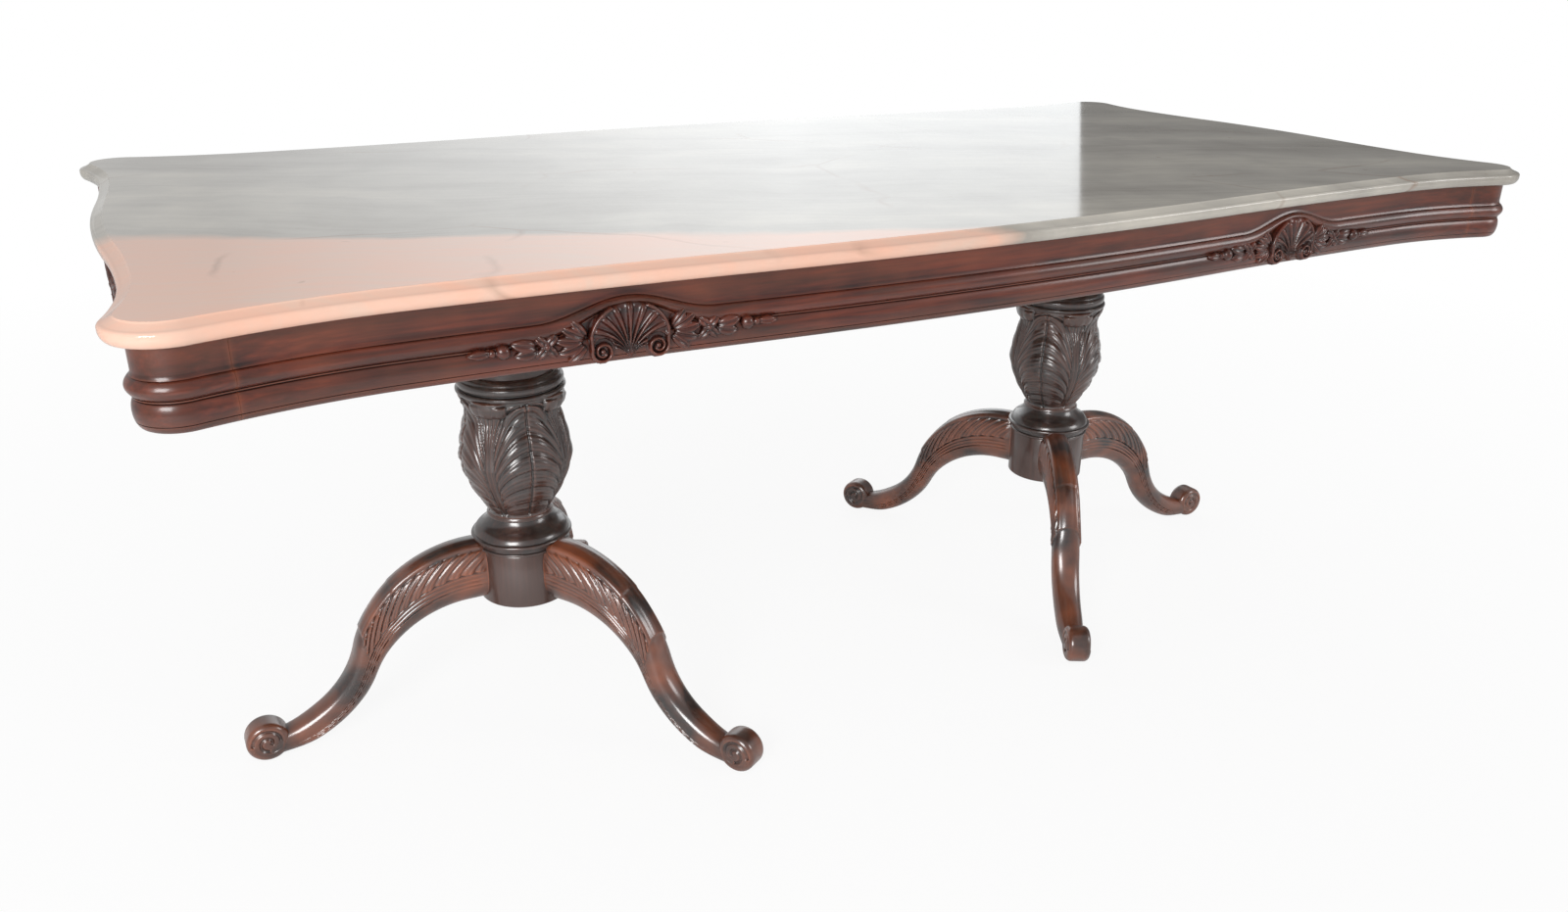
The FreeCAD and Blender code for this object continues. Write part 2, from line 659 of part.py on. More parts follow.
def make_hub(side, place, turns):
    """Plain turned hub, drilled for the leg dowels."""
    name = side.capitalize()
    steps = [(BORE, "hub_bottom"), ("hub_radius", "hub_bottom"), ("hub_radius", HUB_TOP), (BORE, HUB_TOP)]
    hub = turned_body(name + "Hub", steps, place)
    drills = [peg for turn in turns for peg in leg_pegs(name, place, turn, "seat_gap")]
    drilling = doc.addObject("Part::MultiFuse", name + "HubDrilling")
    drilling.Shapes = drills
    drilled = doc.addObject("Part::Cut", name + "DrilledHub")
    drilled.Base, drilled.Tool = hub, drilling
    keep(drilled, f"{side}_leg_hub")
    dowels = doc.addObject("Part::Compound", name + "LegDowels")
    dowels.Links = [peg for turn in turns for peg in leg_pegs(name, place, turn, "0")]
    keep(dowels, f"{side}_leg_dowels")


def leg_pegs(name, place, turn, spare):
    """Two dowels of a leg, or the holes for them, along the leg's direction from the column's axis."""
    pegs = []
    middle = "(leg_root_bottom + hub_bottom + hub_height) / 2"
    start = f"hub_radius - leg_dowel_length / 2 - {spare}"
    for half in ("- 0.5", "+ 0.5"):
        peg = doc.addObject("Part::Cylinder", f"{name}Peg{turn}")
        tie(peg, Radius=f"leg_dowel_diameter / 2 + {spare}", Height=f"leg_dowel_length + 2 * {spare}")
        peg.Placement = Placement(Vector(), Rotation(UP, turn) * Rotation(Vector(0, 1, 0), 90))
        cos, sin = round(math.cos(math.radians(turn)), 6), round(math.sin(math.radians(turn)), 6)
        tie(peg, Placement__Base__x=f"{place} + ({start}) * {cos}")
        tie(peg, Placement__Base__y=f"({start}) * {sin}")
        tie(peg, Placement__Base__z=f"{middle} {half} * leg_dowel_spacing")
        pegs.append(peg)
    return pegs


# Scroll leg: an S in side view, tapered in plan, with its long edges rounded
def make_leg(label, place, turn):
    name = "".join(word.capitalize() for word in label.split("_"))
    body = new_body(name, place, turn)
    inside = "hub_radius / 2"
    crest = ("hub_radius + leg_crest_run", "leg_root_top")
    under = ("hub_radius + leg_under_run", "leg_root_bottom")
    side_view = [
        (inside, "leg_root_top"),
        crest,
        *s_curve(crest, ("scroll_place", "leg_crest_end"), CREST_TURN),
        ("scroll_place", "scroll_flat"),
        *s_curve(("scroll_place", "scroll_flat"), under, 1 - UNDER_TURN),
        (inside, "leg_root_bottom"),
    ]
    symmetric_pad(body, name + "Blank", [side_view], "2 * leg_root_width")
    strips = []
    for mirror in ("", "0 - "):
        strips.append([
            ("0", f"{mirror}leg_root_width / 2"),
            ("scroll_place + scroll_radius", f"{mirror}leg_ankle_width / 2"),
            ("scroll_place + scroll_radius", f"{mirror}2 * leg_root_width"),
            ("0", f"{mirror}2 * leg_root_width"),
        ])
    taper = pocket(body, name + "Taper", sketch_on(body, "flat", name + "Plan", strips))
    doc.recompute()
    rounding = body.newObject("PartDesign::Fillet", name + "Rounding")
    rounding.Base = (taper, long_edges(taper.Shape))
    tie(rounding, Radius="leg_rounding")
    add_scroll(body, name)
    root = [round_loop("hub_radius + seat_gap")]
    pocket(body, name + "Seat", sketch_on(body, "flat", name + "Root", root))
    collar = [round_loop("ring_radius + seat_gap")]
    pocket(body, name + "Relief", sketch_on(body, "flat", name + "Crest", collar, f"{HUB_TOP} - seat_gap"))
    for drill, level in (("Low", "- 0.5"), ("High", "+ 0.5")):
        middle = f"(leg_root_bottom + hub_bottom + hub_height) / 2 {level} * leg_dowel_spacing"
        hole = [round_loop("leg_dowel_diameter / 2 + seat_gap", middle)]
        bore = body.newObject("PartDesign::Pocket", name + drill + "Bore")
        bore.Profile = sketch_on(body, "side", name + drill + "Hole", hole)
        bore.Reversed = True
        tie(bore, Length="hub_radius + leg_dowel_length / 2 + seat_gap")
    keep(body, label)


def add_scroll(body, name):
    """Scroll foot: turned about its axis across the leg, rounded at its rims, flat where it stands."""
    half, soft = "scroll_width / 2", "scroll_rounding"
    bow = f"{soft} * {1 - math.sqrt(0.5)}"
    section = sketch_on(body, "flat", name + "ScrollSection", [[
        ("0", f"0 - {half}"),
        (f"scroll_radius - {soft}", f"0 - {half}"),
        (f"scroll_radius - {bow}", f"{bow} - {half}", "scroll_radius", f"{soft} - {half}"),
        ("scroll_radius", f"{half} - {soft}"),
        (f"scroll_radius - {bow}", f"{half} - {bow}", f"scroll_radius - {soft}", half),
        ("0", half),
    ]], "scroll_radius - scroll_flat", "scroll_place")
    turning = body.newObject("PartDesign::Revolution", name + "Scroll")
    turning.Profile = section
    turning.ReferenceAxis = (section, ["V_Axis"])
    turning.Angle = 360
    ground = [
        ("scroll_place - scroll_radius", "0 - scroll_width"),
        ("scroll_place + scroll_radius", "0 - scroll_width"),
        ("scroll_place + scroll_radius", "scroll_width"),
        ("scroll_place - scroll_radius", "scroll_width"),
    ]
    flat = pocket(body, name + "Flat", sketch_on(body, "flat", name + "Ground", [ground]))
    flat.Reversed = False


def s_curve(start, end, turn):
    """Two arcs that leave one point level, meet on the line to another, and arrive there level."""
    near = Vector(size(start[0]), size(start[1]), 0)
    far = Vector(size(end[0]), size(end[1]), 0)
    run = far - near
    bow = math.tan(math.atan2(abs(run.y), abs(run.x)) / 2)
    pace = Vector(math.copysign(1, run.x), math.copysign(bow, run.y), 0) * (run.Length / 2)
    steps = [(near + pace * turn, near + run * turn), (far - pace * (1 - turn), far)]
    return [(str(by.x), str(by.y), str(to.x), str(to.y)) for by, to in steps]


def symmetric_pad(body, name, loops, width):
    """A side view padded to both sides of the leg's middle plane."""
    pad = body.newObject("PartDesign::Pad", name)
    pad.Profile = sketch_on(body, "front", name + "Side", loops)
    pad.SideType = "Symmetric"
    tie(pad, Length=width)
    return pad


def long_edges(shape):
    """Edges along both flanks of a leg, from its root to the middle of its scroll."""
    first, last = size("hub_radius / 2 + seat_gap"), size("scroll_place - seat_gap")
    names = []
    for number, edge in enumerate(shape.Edges, 1):
        middle = edge.valueAt((edge.FirstParameter + edge.LastParameter) / 2)
        if first < middle.x < last and abs(middle.y) > size("leg_ankle_width") / 3:
            names.append(f"Edge{number}")
    return names


def round_loop(radius, up="0"):
    """A circle as two half circles, about a point on the sketch's vertical axis."""
    right, left = radius, f"0 - ({radius})"
    top, bottom = f"{up} + {radius}", f"{up} - ({radius})"
    return [("0", top, left, up), ("0", bottom, right, up)]


def pocket(body, name, profile):
    """Cut a flat sketch's loops out of everything above it."""
    cut = body.newObject("PartDesign::Pocket", name)
    cut.Profile = profile
    cut.Type = "ThroughAll"
    cut.Reversed = True
    return cut


# Hardware and top plate of a column
def make_plate(side, place):
    name = side.capitalize()
    body = new_body(name + "Plate", place)
    half_long, half_wide = "plate_length / 2", "plate_width / 2"
    corners = [
        (half_long, half_wide),
        (f"0 - {half_long}", half_wide),
        (f"0 - {half_long}", f"0 - {half_wide}"),
        (half_long, f"0 - {half_wide}"),
    ]
    profile = sketch_on(body, "flat", name + "PlateOutline", [corners, round_loop(BORE)], PLATE_BOTTOM)
    board = body.newObject("PartDesign::Pad", name + "Board")
    board.Profile = profile
    tie(board, Length="plate_thickness")
    doc.recompute()
    level = size(PLATE_BOTTOM)
    low_edges = []
    for number, edge in enumerate(board.Shape.Edges, 1):
        straight = edge.Curve.TypeId == "Part::GeomLine"
        if straight and all(abs(v.Z - level) < 0.001 for v in edge.Vertexes):
            low_edges.append(f"Edge{number}")
    bevel = body.newObject("PartDesign::Chamfer", name + "Bevel")
    bevel.Base = (board, low_edges)
    tie(bevel, Size="plate_chamfer")
    doc.recompute()
    _, holes = make_plate_screws()
    drilling = fixed_shape(name + "PlateHoles", Part.makeCompound(holes))
    drilled = doc.addObject("Part::Cut", name + "DrilledPlate")
    drilled.Base, drilled.Tool = body, drilling
    keep(drilled, f"{side}_top_plate")


def make_rod(side, place):
    """Tie rod from under the hub to above the top plate, with a washer and a nut at each end."""
    name = side.capitalize()
    low = "hub_bottom - washer_thickness - nut_height - rod_end"
    high = f"{BEARER_BOTTOM} + washer_thickness + nut_height + rod_end"
    rod = doc.addObject("Part::Cylinder", name + "Rod")
    tie(rod, Radius="rod_diameter / 2", Height=f"{high} - ({low})")
    tie(rod, Placement__Base__x=place, Placement__Base__z=low)
    keep(rod, f"{side}_tie_rod")
    pieces = []
    levels = {
        "Low": ("hub_bottom - washer_thickness", "hub_bottom - washer_thickness - nut_height"),
        "High": (BEARER_BOTTOM, f"{BEARER_BOTTOM} + washer_thickness"),
    }
    for where, (washer_level, nut_level) in levels.items():
        bore = doc.addObject("Part::Cylinder", f"{name}{where}Bore")
        tie(bore, Radius="rod_diameter / 2 + seat_gap", Height="2 * washer_thickness + 2 * nut_height")
        tie(bore, Placement__Base__x=place, Placement__Base__z=f"{nut_level} - nut_height")
        washer = doc.addObject("Part::Cylinder", f"{name}{where}Washer")
        tie(washer, Radius="washer_diameter / 2", Height="washer_thickness")
        tie(washer, Placement__Base__x=place, Placement__Base__z=washer_level)
        nut = doc.addObject("Part::Prism", f"{name}{where}Nut")
        nut.Polygon = 6
        tie(nut, Circumradius=f"nut_width / {round(math.sqrt(3), 6)}", Height="nut_height")
        tie(nut, Placement__Base__x=place, Placement__Base__z=nut_level)
        for solid in (washer, nut):
            drilled = doc.addObject("Part::Cut", solid.Name + "Drilled")
            drilled.Base, drilled.Tool = solid, bore
            pieces.append(drilled)
    group = doc.addObject("Part::Compound", name + "RodNuts")
    group.Links = pieces
    keep(group, f"{side}_rod_nuts")


# Carved shells: a scalloped fan between two volutes, with a leaf spray on each side
def plaque(steps, depth, taper):
    """A relief on the plane y = 0, facing -Y: an outline of lobes drawn in towards its front."""
    rings = []
    for share, level in ((1.0, 0.0), (taper, -depth)):
        middle = sum((point for pair in steps for point in pair), Vector()) * (0.5 / len(steps))
        spots = [tuple(middle + (point - middle) * share for point in pair) for pair in steps]
        edges = []
        for number, (bulge, tip) in enumerate(spots):
            edges.append(Part.Arc(spots[number - 1][1], bulge, tip).toShape())
        ring = Part.Wire(edges)
        ring.translate(Vector(0, level, 0))
        rings.append(ring)
    return Part.makeLoft(rings, True, True)


def fan_steps(width, height):
    """Lobes round the upper half of a fan, and a shallow bow along its foot."""
    steps = [(Vector(0, 0, size("shell_foot_bow")), Vector(width / 2, 0, 0))]
    for number in range(SHELL_FLUTES):
        spots = []
        for share, swell in ((number + 0.5, SHELL_SWELL), (number + 1, 1.0)):
            angle = math.pi * share / SHELL_FLUTES
            spots.append(Vector(width / 2 * math.cos(angle), 0, height * math.sin(angle)) * swell)
        steps.append(tuple(spots))
    return steps


def spray_steps(length, height):
    """A tapering spray of lobed leaves about its middle, thinning along +X."""
    upper, lower = [], []
    for share in SPRAY_LOBES:
        along = length * (share - 0.5)
        upper.append(Vector(along, 0, height * (1 - (1 - SPRAY_TIP) * share)))
        lower.append(Vector(along, 0, height * SPRAY_RISE * share))
    corners = upper + lower[::-1]
    steps = []
    for number, tip in enumerate(corners):
        before = corners[number - 1]
        outward = Vector((tip - before).z, 0, (before - tip).x) * -LEAF_SWELL
        steps.append(((tip + before) * 0.5 + outward, tip))
    return steps


def carved_pieces():
    """Pieces of a shell against the plane y = 0, facing -Y, by their place along the rail."""
    width, depth, volute = size("shell_width"), size("shell_depth"), size("volute_radius")
    fan = plaque(fan_steps(width - 2 * volute, size("shell_height")), depth, SHELL_FRONT)
    reach = width / 2 - volute
    for place in (-reach, reach):
        fan = fan.fuse(Part.makeCylinder(volute, depth, Vector(place, 0, volute), Vector(0, -1, 0)))
    spray = plaque(spray_steps(size("spray_length"), size("spray_height")), size("spray_depth"), SPRAY_FRONT)
    spray.translate(Vector(0, 0, size("spray_lift")))
    spread = reach + size("spray_length") / 2
    return {0: fan, spread: spray, -spread: spray.mirror(Vector(), Vector(1, 0, 0))}


def make_shells(frame):
    """Shells set along the rails, scribed to the moulding behind them."""
    place = size("column_place")
    foot = size(FRAME_TOP) - size("apron_height")
    spots = {
        "front_left": ("front_rail", LONG, -place, 0),
        "front_right": ("front_rail", LONG, place, 0),
        "back_left": ("back_rail", LONG, place, 180),
        "back_right": ("back_rail", LONG, -place, 180),
        "left_end": ("left_end_rail", END, 0, -90),
        "right_end": ("right_end_rail", END, 0, 90),
    }
    for name, (rail, side, middle, turn) in spots.items():
        spin = Placement(Vector(), Rotation(UP, turn))
        pieces = []
        for offset, piece in carved_pieces().items():
            along = middle + offset
            lean = Rotation(UP, -math.degrees(math.atan(side.slope(along))))
            seat = Placement(Vector(along, FASCIA_INSET - side.level(along), foot), lean)
            piece.Placement = spin.multiply(seat).multiply(piece.Placement)
            pieces.append(piece)
        carved = pieces[0].fuse(pieces[1:]).cut(frame[rail])
        carved = max(carved.Solids, key=lambda solid: solid.Volume)
        carved.translate(spin.multVec(Vector(0, -size("shell_glue"), 0)))
        keep(fixed_shape("Shell_" + name, carved), f"{name}_shell")


make_slab()
frame_pieces = make_frame()
make_bearers(frame_pieces)
make_pads()
make_shells(frame_pieces)
COLUMNS = {
    "left": ("0 - column_place", {"back_inner": 60, "outer": 180, "front_inner": 300}),
    "right": ("column_place", {"outer": 0, "back_inner": 120, "front_inner": 240}),
}
for side_name, (axis_place, leg_turns) in COLUMNS.items():
    make_plate(side_name, axis_place)
    make_column(side_name, axis_place)
    make_hub(side_name, axis_place, leg_turns.values())
    make_rod(side_name, axis_place)
    for leg_name, leg_turn in leg_turns.items():
        make_leg(f"{side_name}_{leg_name}_leg", axis_place, leg_turn)
doc.recompute()

for thing in doc.Objects:
    if "Invalid" in thing.State or "Error" in thing.State:
        raise RuntimeError(f"{thing.Label} failed to compute: {thing.State}")
for thing in subparts:
    if thing.Shape.isNull() or not thing.Shape.isValid() or not thing.Shape.Solids:
        raise RuntimeError(f"{thing.Label} has no sound solid")
os.makedirs("parts", exist_ok=True)
for thing in subparts:
    thing.Shape.exportStep(f"parts/{thing.Label}.step")
print(len(subparts), "sub-parts")
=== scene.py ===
"""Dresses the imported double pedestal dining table: a loose polished marble slab on a moulded,
carved mahogany frame, carried by two carved vase columns with three scroll legs each. Metres."""

import math

import bmesh
import bpy
import numpy as np
from mathutils import Matrix, Vector


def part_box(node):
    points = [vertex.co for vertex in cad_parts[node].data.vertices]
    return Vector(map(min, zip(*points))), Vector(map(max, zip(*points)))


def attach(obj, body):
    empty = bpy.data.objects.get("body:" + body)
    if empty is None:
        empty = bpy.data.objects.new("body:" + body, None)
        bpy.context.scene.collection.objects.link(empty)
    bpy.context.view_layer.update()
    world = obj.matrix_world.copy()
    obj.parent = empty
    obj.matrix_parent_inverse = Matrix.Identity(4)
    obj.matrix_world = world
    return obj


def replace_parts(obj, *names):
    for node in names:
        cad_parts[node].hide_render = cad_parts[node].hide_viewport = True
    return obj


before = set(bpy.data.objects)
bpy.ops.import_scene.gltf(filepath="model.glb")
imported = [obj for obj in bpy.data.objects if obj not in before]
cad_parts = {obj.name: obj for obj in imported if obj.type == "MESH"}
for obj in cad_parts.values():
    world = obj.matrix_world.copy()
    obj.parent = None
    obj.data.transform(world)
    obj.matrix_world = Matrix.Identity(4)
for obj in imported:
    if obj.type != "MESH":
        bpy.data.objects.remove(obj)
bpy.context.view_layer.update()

bl_info = {
    "name": "Double pedestal dining table",
    "version": (1, 0, 0),
    "blender": (4, 5, 0),
    "location": "View3D > Sidebar > Table",
    "description": "Builds the looks of a marble topped double pedestal table around its CAD frame",
    "category": "Object",
}

MM = 0.001
FRAME_BODY = "frame"
SLAB_BODY = "slab"


def corners(node):
    return tuple(Vector(corner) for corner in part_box(node))


SLAB_LOW, SLAB_HIGH = corners("marble_top")
SLAB_HALF = (SLAB_HIGH - SLAB_LOW) / 2
APRON_FOOT, APRON_TOP = (corner[2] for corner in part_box("front_rail"))
HUB_LOW, HUB_HIGH = corners("left_leg_hub")
HUB_RADIUS = (HUB_HIGH.x - HUB_LOW.x) / 2
RING_LOW, RING_HIGH = corners("left_base_ring")
VASE_LOW, VASE_HIGH = corners("left_carved_vase")
COLLAR_LOW, COLLAR_HIGH = corners("left_collar")
HEAD_LOW, HEAD_HIGH = corners("left_column_head")
COLUMN_X = -(HUB_LOW.x + HUB_HIGH.x) / 2
COLUMNS = {"left": -COLUMN_X, "right": COLUMN_X}
# Directions of the legs from each column's axis, in degrees
LEGS = {
    "left": {"back_inner": 60, "outer": 180, "front_inner": 300},
    "right": {"outer": 0, "back_inner": 120, "front_inner": 240},
}


def length(label, millimetres, note):
    """A size that a user may change, kept in metres."""
    return bpy.props.FloatProperty(
        name=label, description=note, default=millimetres * MM, unit="LENGTH", precision=4)


def count(label, number, note):
    return bpy.props.IntProperty(name=label, description=note, default=number, min=1)


def share(label, number, note):
    return bpy.props.FloatProperty(name=label, description=note, default=number)


def angle(label, degrees, note):
    return bpy.props.FloatProperty(
        name=label, description=note, default=math.radians(degrees), subtype="ANGLE")


def colour(label, value, note):
    return bpy.props.StringProperty(name=label, description=note + ", sRGB hex", default=value)


class SlabSizes(bpy.types.PropertyGroup):
    """Plan and edge of the marble slab."""

    corner_radius: length("Corner lobes", 55, "Plan radius of the corner lobes")
    long_dip_place: length("Long dip place", 730, "Middle of the table to a long edge's deepest dip")
    long_dip_depth: length("Long dip", 28, "Dip of a long edge behind its corner lobes")
    long_belly_drop: length("Long belly", 3, "Long edge's middle behind its corner lobes")
    end_dip_place: length("End dip place", 300, "Middle of the table to an end's deepest dip")
    end_dip_depth: length("End dip", 21, "Dip of an end behind its corner lobes")
    end_belly_drop: length("End belly", 5, "End's middle behind its corner lobes")
    edge_width: length("Edge width", 14, "Plan width of the moulded edge")
    edge_quirk: length("Edge quirk", 1.2, "Small step where the moulded edge leaves the top")
    nose_drop: length("Nose drop", 12, "Top face down to the nose of the edge")
    under_inset: length("Under inset", 5, "Underside's outline behind the nose")


class ApronSizes(bpy.types.PropertyGroup):
    """Moulding of the frame and the arch of its bead over each shell."""

    fascia_inset: length("Fascia inset", 19, "Flat fascia behind the nose of the slab")
    thickness: length("Thickness", 28, "Rail behind its fascia")
    fascia_height: length("Fascia", 31, "Top of the frame to the upper edge of the bead")
    cove_height: length("Cove height", 5, "Soft cove between fascia and bead")
    cove_reach: length("Cove reach", 1.5, "Foot of the cove, out from the fascia")
    bead_height: length("Bead", 19, "Height of the middle bead")
    bead_reach: length("Bead reach", 7.2, "Middle bead, out from the fascia")
    fillet_reach: length("Fillet reach", 2.4, "Fine fillet under the bead, out from the fascia")
    notch_height: length("Notch", 2.2, "Notch between the bead and the lower moulding")
    notch_reach: length("Notch reach", 0.3, "Bottom of the notch, out from the fascia")
    torus_reach: length("Torus reach", 4.6, "Lower moulding, out from the fascia")
    torus_rise: length("Torus rise", 12, "Notch down to the crest of the lower moulding")
    foot_reach: length("Foot reach", -3, "Rounded foot of the lower moulding, out from the fascia")
    line_depth: length("Line depth", 0.7, "Fine line cut along the lower moulding")
    long_joint_place: length("Long joint", 878, "Middle of the table to the joints in the long sides")
    end_joint_place: length("End joint", 395, "Middle of the table to the joints in the ends")
    joint_gap: length("Joint gap", 0.25, "Open hairline at each joint")
    arch_rise: length("Arch rise", 21, "Rise of the bead's upper edge over a shell")
    arch_half: length("Arch half width", 100, "Half the width of the bead's arch")
    arch_pinch: share("Arch pinch", 1.46, "How much more the bead's lower edge rises")


class CarvingSizes(bpy.types.PropertyGroup):
    """Shells with their leaf sprays."""

    grid: length("Grid", 0.85, "Spacing of the carved surface's points")
    half_run: length("Half run", 174, "Middle of a shell to the end of its spray")
    height: length("Height", 67, "Foot of the rail to the top of the carving")
    bury: length("Bury", 4, "How far a carving's border lies inside the rail")
    set_back: length("Set back", 4.5, "How far the carving's ground lies behind the fascia")
    fan_half: length("Fan half width", 44.5, "Middle of the fan to its side")
    fan_rise: length("Fan rise", 40, "Level of the fan's widest place to its top")
    fan_centre: length("Fan centre", 25, "Foot of the rail to the fan's widest place")
    fan_focus: length("Fan focus", 1, "Foot of the rail to the point the flutes spring from")
    fan_spread: angle("Fan spread", 88, "Half the opening of the fan")
    fan_bend: share("Fan bend", 0.6, "How much the flutes bend outwards on their way up")
    fan_reach: length("Fan reach", 11, "Foot of the fan, out from the carving's ground")
    fan_swell: length("Fan swell", 4.5, "How far the fan bows out between its foot and rim")
    rim_reach: length("Rim reach", 7, "Rolled rim of the fan, out from the carving's ground")
    flute_depth: length("Flute depth", 3.4, "Depth of the flutes")
    rib_swell: length("Rib swell", 0.9, "Ribs over the fan's surface")
    rib_width: share("Rib width", 0.34, "Rib between two flutes, as a share of their spacing")
    flutes: count("Flutes", 11, "Ribs of the fan")
    volute_place: length("Volute place", 30.5, "Middle of a shell to the eye of a volute")
    volute_level: length("Volute level", 14.5, "Foot of the rail to the eye of a volute")
    volute_radius: length("Volute radius", 14.2, "Volutes beside the fan")
    volute_turns: share("Volute turns", 1.45, "Turns of a volute's band")
    spray_level: length("Spray level", 27, "Foot of the rail to the middle of a spray")


class ColumnSizes(bpy.types.PropertyGroup):
    """Carved vase and the turned pieces round it."""

    leaves: count("Leaves", 4, "Acanthus leaves round a vase")
    lobes: share("Lobes", 6.6, "Lobes up a leaf's midrib")
    lobe_depth: length("Lobe depth", 3.4, "Depth of the cuts between the lobes")
    vein_depth: length("Vein depth", 0.8, "Depth of the three fine cuts in each lobe")
    arch_width: share("Arch width", 1.06, "Foot of the lobes' arches, as a share of half a leaf")
    rib_groove: length("Midrib groove", 2.8, "Depth of the cut along a leaf's midrib")
    leaf_step: length("Leaf step", 2.4, "Leaf over the stem and leaf tip behind it")
    leaf_width: share("Leaf width", 0.88, "Leaf's share of its part of the vase, up to its shoulders")
    tip_curl: length("Tip curl", 7.5, "How far the overturned tips stand out")
    tip_rise: length("Tip rise", 8, "Leaf tips over the foot of the collar, which they hide")
    tip_width: share("Tip width", 0.5, "Overturned tip, as a share of half a leaf")
    knop_swell: length("Knop swell", 4.5, "Small knop at the head of each midrib")
    hub_raise: length("Hub raise", 9, "Top of the hub above the base ring's seat")
    hub_skirt: length("Hub skirt", 8, "Rim of the hub below the seat of the tie rod's washer")
    hub_recess: length("Hub recess", 38, "Recess for the washer in the hub's foot")
    right_turn: angle("Right vase turn", 32, "Right vase's leaves turned from the left one's")
    neck_radius: length("Neck", 46, "Neck at the foot of the vase")
    shoulder_radius: length("Shoulder", 69.5, "Vase halfway up to its belly")
    belly_level: length("Belly level", 85, "Foot of the vase to its belly")
    belly_swell: length("Belly swell", 3, "Uncarved vase round its belly, over the finished size")
    waist_radius: length("Waist", 68.5, "Vase below its lip")
    waist_level: length("Waist level", 150, "Foot of the vase to its waist")
    lip_radius: length("Lip", 72, "Top of the vase, under the collar")
    lip_height: length("Lip height", 8, "Straight lip at the top of the vase")
    head_radius: length("Head radius", 62, "Column head over the collar")


class LegSizes(bpy.types.PropertyGroup):
    """Scroll leg in its own axes: out from the column, across, and up."""

    root_top: length("Root top", 270, "Crest at the hub")
    root_bottom: length("Root bottom", 178, "Underside at the hub")
    crest_run: length("Crest run", 14, "Level crest, out from the hub")
    under_run: length("Under run", 24, "Level underside, out from the hub")
    crest_turn: share("Crest turn", 0.57, "Where along its S the crest turns hollow")
    under_turn: share("Underside turn", 0.47, "Where along its S the underside turns hollow")
    root_width: length("Root width", 50, "Leg at the column's axis")
    ankle_width: length("Ankle width", 37, "Leg at its scroll")
    crest_end: length("Crest end", 35, "Floor to the crest where it ends in the scroll")
    scroll_place: length("Scroll place", 388, "Column axis to the middle of the scroll")
    scroll_radius: length("Scroll radius", 29, "Scroll foot")
    scroll_width: length("Scroll width", 38, "Scroll foot, across the leg")
    scroll_rounding: length("Scroll rounding", 9, "Rounding of the scroll's rims")
    scroll_flat: length("Scroll flat", 1, "Flat worn under the scroll")
    volute_start: length("Volute start", 21.5, "Outer end of the volute's cut, from the scroll's axis")
    volute_pace: length("Volute pace", 11, "How far the volute's cut draws in with each turn")
    volute_turns: share("Volute turns", 1.6, "Turns of the volute's cut")
    volute_depth: length("Volute depth", 3.0, "Depth of the volute's cut")
    volute_width: length("Volute width", 2.4, "Half width of the volute's cut")
    leaf_raise: length("Leaf raise", 3.4, "Knee leaf over the plain leg")
    leaf_end: share("Leaf end", 0.53, "Where along the leg the knee leaf ends")
    leaf_border: share("Leaf border", 0.1, "Lower border of the knee leaf, between underside and crest")
    leaf_pitch: length("Leaf pitch", 21, "Knee leaf's lobes, along the leg")
    leaf_sweep: length("Leaf sweep", 42, "How far a lobe runs along the leg from crest to border")
    leaf_cut: length("Leaf cut", 3.4, "Depth of the cuts between the knee leaf's lobes")
    band_border: share("Band border", 0.78, "Lower border of the plain band along the crest")
    step_pitch: length("Step pitch", 152, "Steps along the crest of the knee leaf")
    step_rise: length("Step rise", 1.2, "How far the crest rises before each step")
    line_cut: length("Line cuts", 1.8, "Depth of the lines beside the band and along the crest")
    groove_depth: length("Groove depth", 2.1, "Long reeds under the knee leaf")
    ankle_swell: length("Ankle swell", 4, "Fuller section between the knee leaf and the scroll")
    groove_pitch: share("Groove pitch", 0.15, "Spacing of the long reeds, between underside and crest")


class Finishes(bpy.types.PropertyGroup):
    """Colours of the finishes."""

    # wood_dark and wood_black are the darkest grain streaks, and also the painted shade mixed into the
    # wood's cuts and recesses
    wood_dark: colour("Wood, dark", "#1f0b08", "Stained mahogany in its recesses and dark streaks")
    wood_mid: colour("Wood, middle", "#40160e", "Stained mahogany")
    wood_light: colour("Wood, light", "#622616", "Light streaks of the mahogany")
    wood_deep: colour("Wood, deep", "#1c0f0c", "Darker stain of the columns and legs")
    wood_umber: colour("Wood, umber", "#371c14", "Light streaks of the darker stain")
    wood_black: colour("Wood, black", "#120a08", "Recesses of the darker stain")
    wood_worn: colour("Wood, worn", "#96502f", "Mahogany where the stain has worn through")
    marble_grey: colour("Marble, grey", "#b4afa6", "Main bed of the marble")
    marble_pale: colour("Marble, pale", "#ccc6ba", "Pale streaks of the marble")
    marble_cloud: colour("Marble, cloud", "#99938a", "Grey streaks of the marble")
    marble_pink: colour("Marble, pink", "#eeb69d", "Pink bed of the marble")
    marble_vein: colour("Marble, vein", "#8a6a55", "Brown veins of the marble")
    carcass: colour("Carcass wood", "#6a4630", "Unpolished wood under the top")
    steel: colour("Steel", "#8d8f92", "Tie rods, nuts and washers")
    brass: colour("Brass", "#b08d4a", "Wood screws")
    rubber: colour("Rubber", "#2a2a2b", "Pads under the slab")


GROUPS = {
    "table_slab": SlabSizes,
    "table_apron": ApronSizes,
    "table_carving": CarvingSizes,
    "table_column": ColumnSizes,
    "table_leg": LegSizes,
    "table_finish": Finishes,
}


def sizes(group):
    return getattr(bpy.context.scene, group)


# Nodes and colours
def linear(value):
    """Linear colour of an sRGB hex value."""
    channels = [int(value[at:at + 2], 16) / 255 for at in (1, 3, 5)]
    return (*(c / 12.92 if c <= 0.04045 else ((c + 0.055) / 1.055) ** 2.4 for c in channels), 1.0)


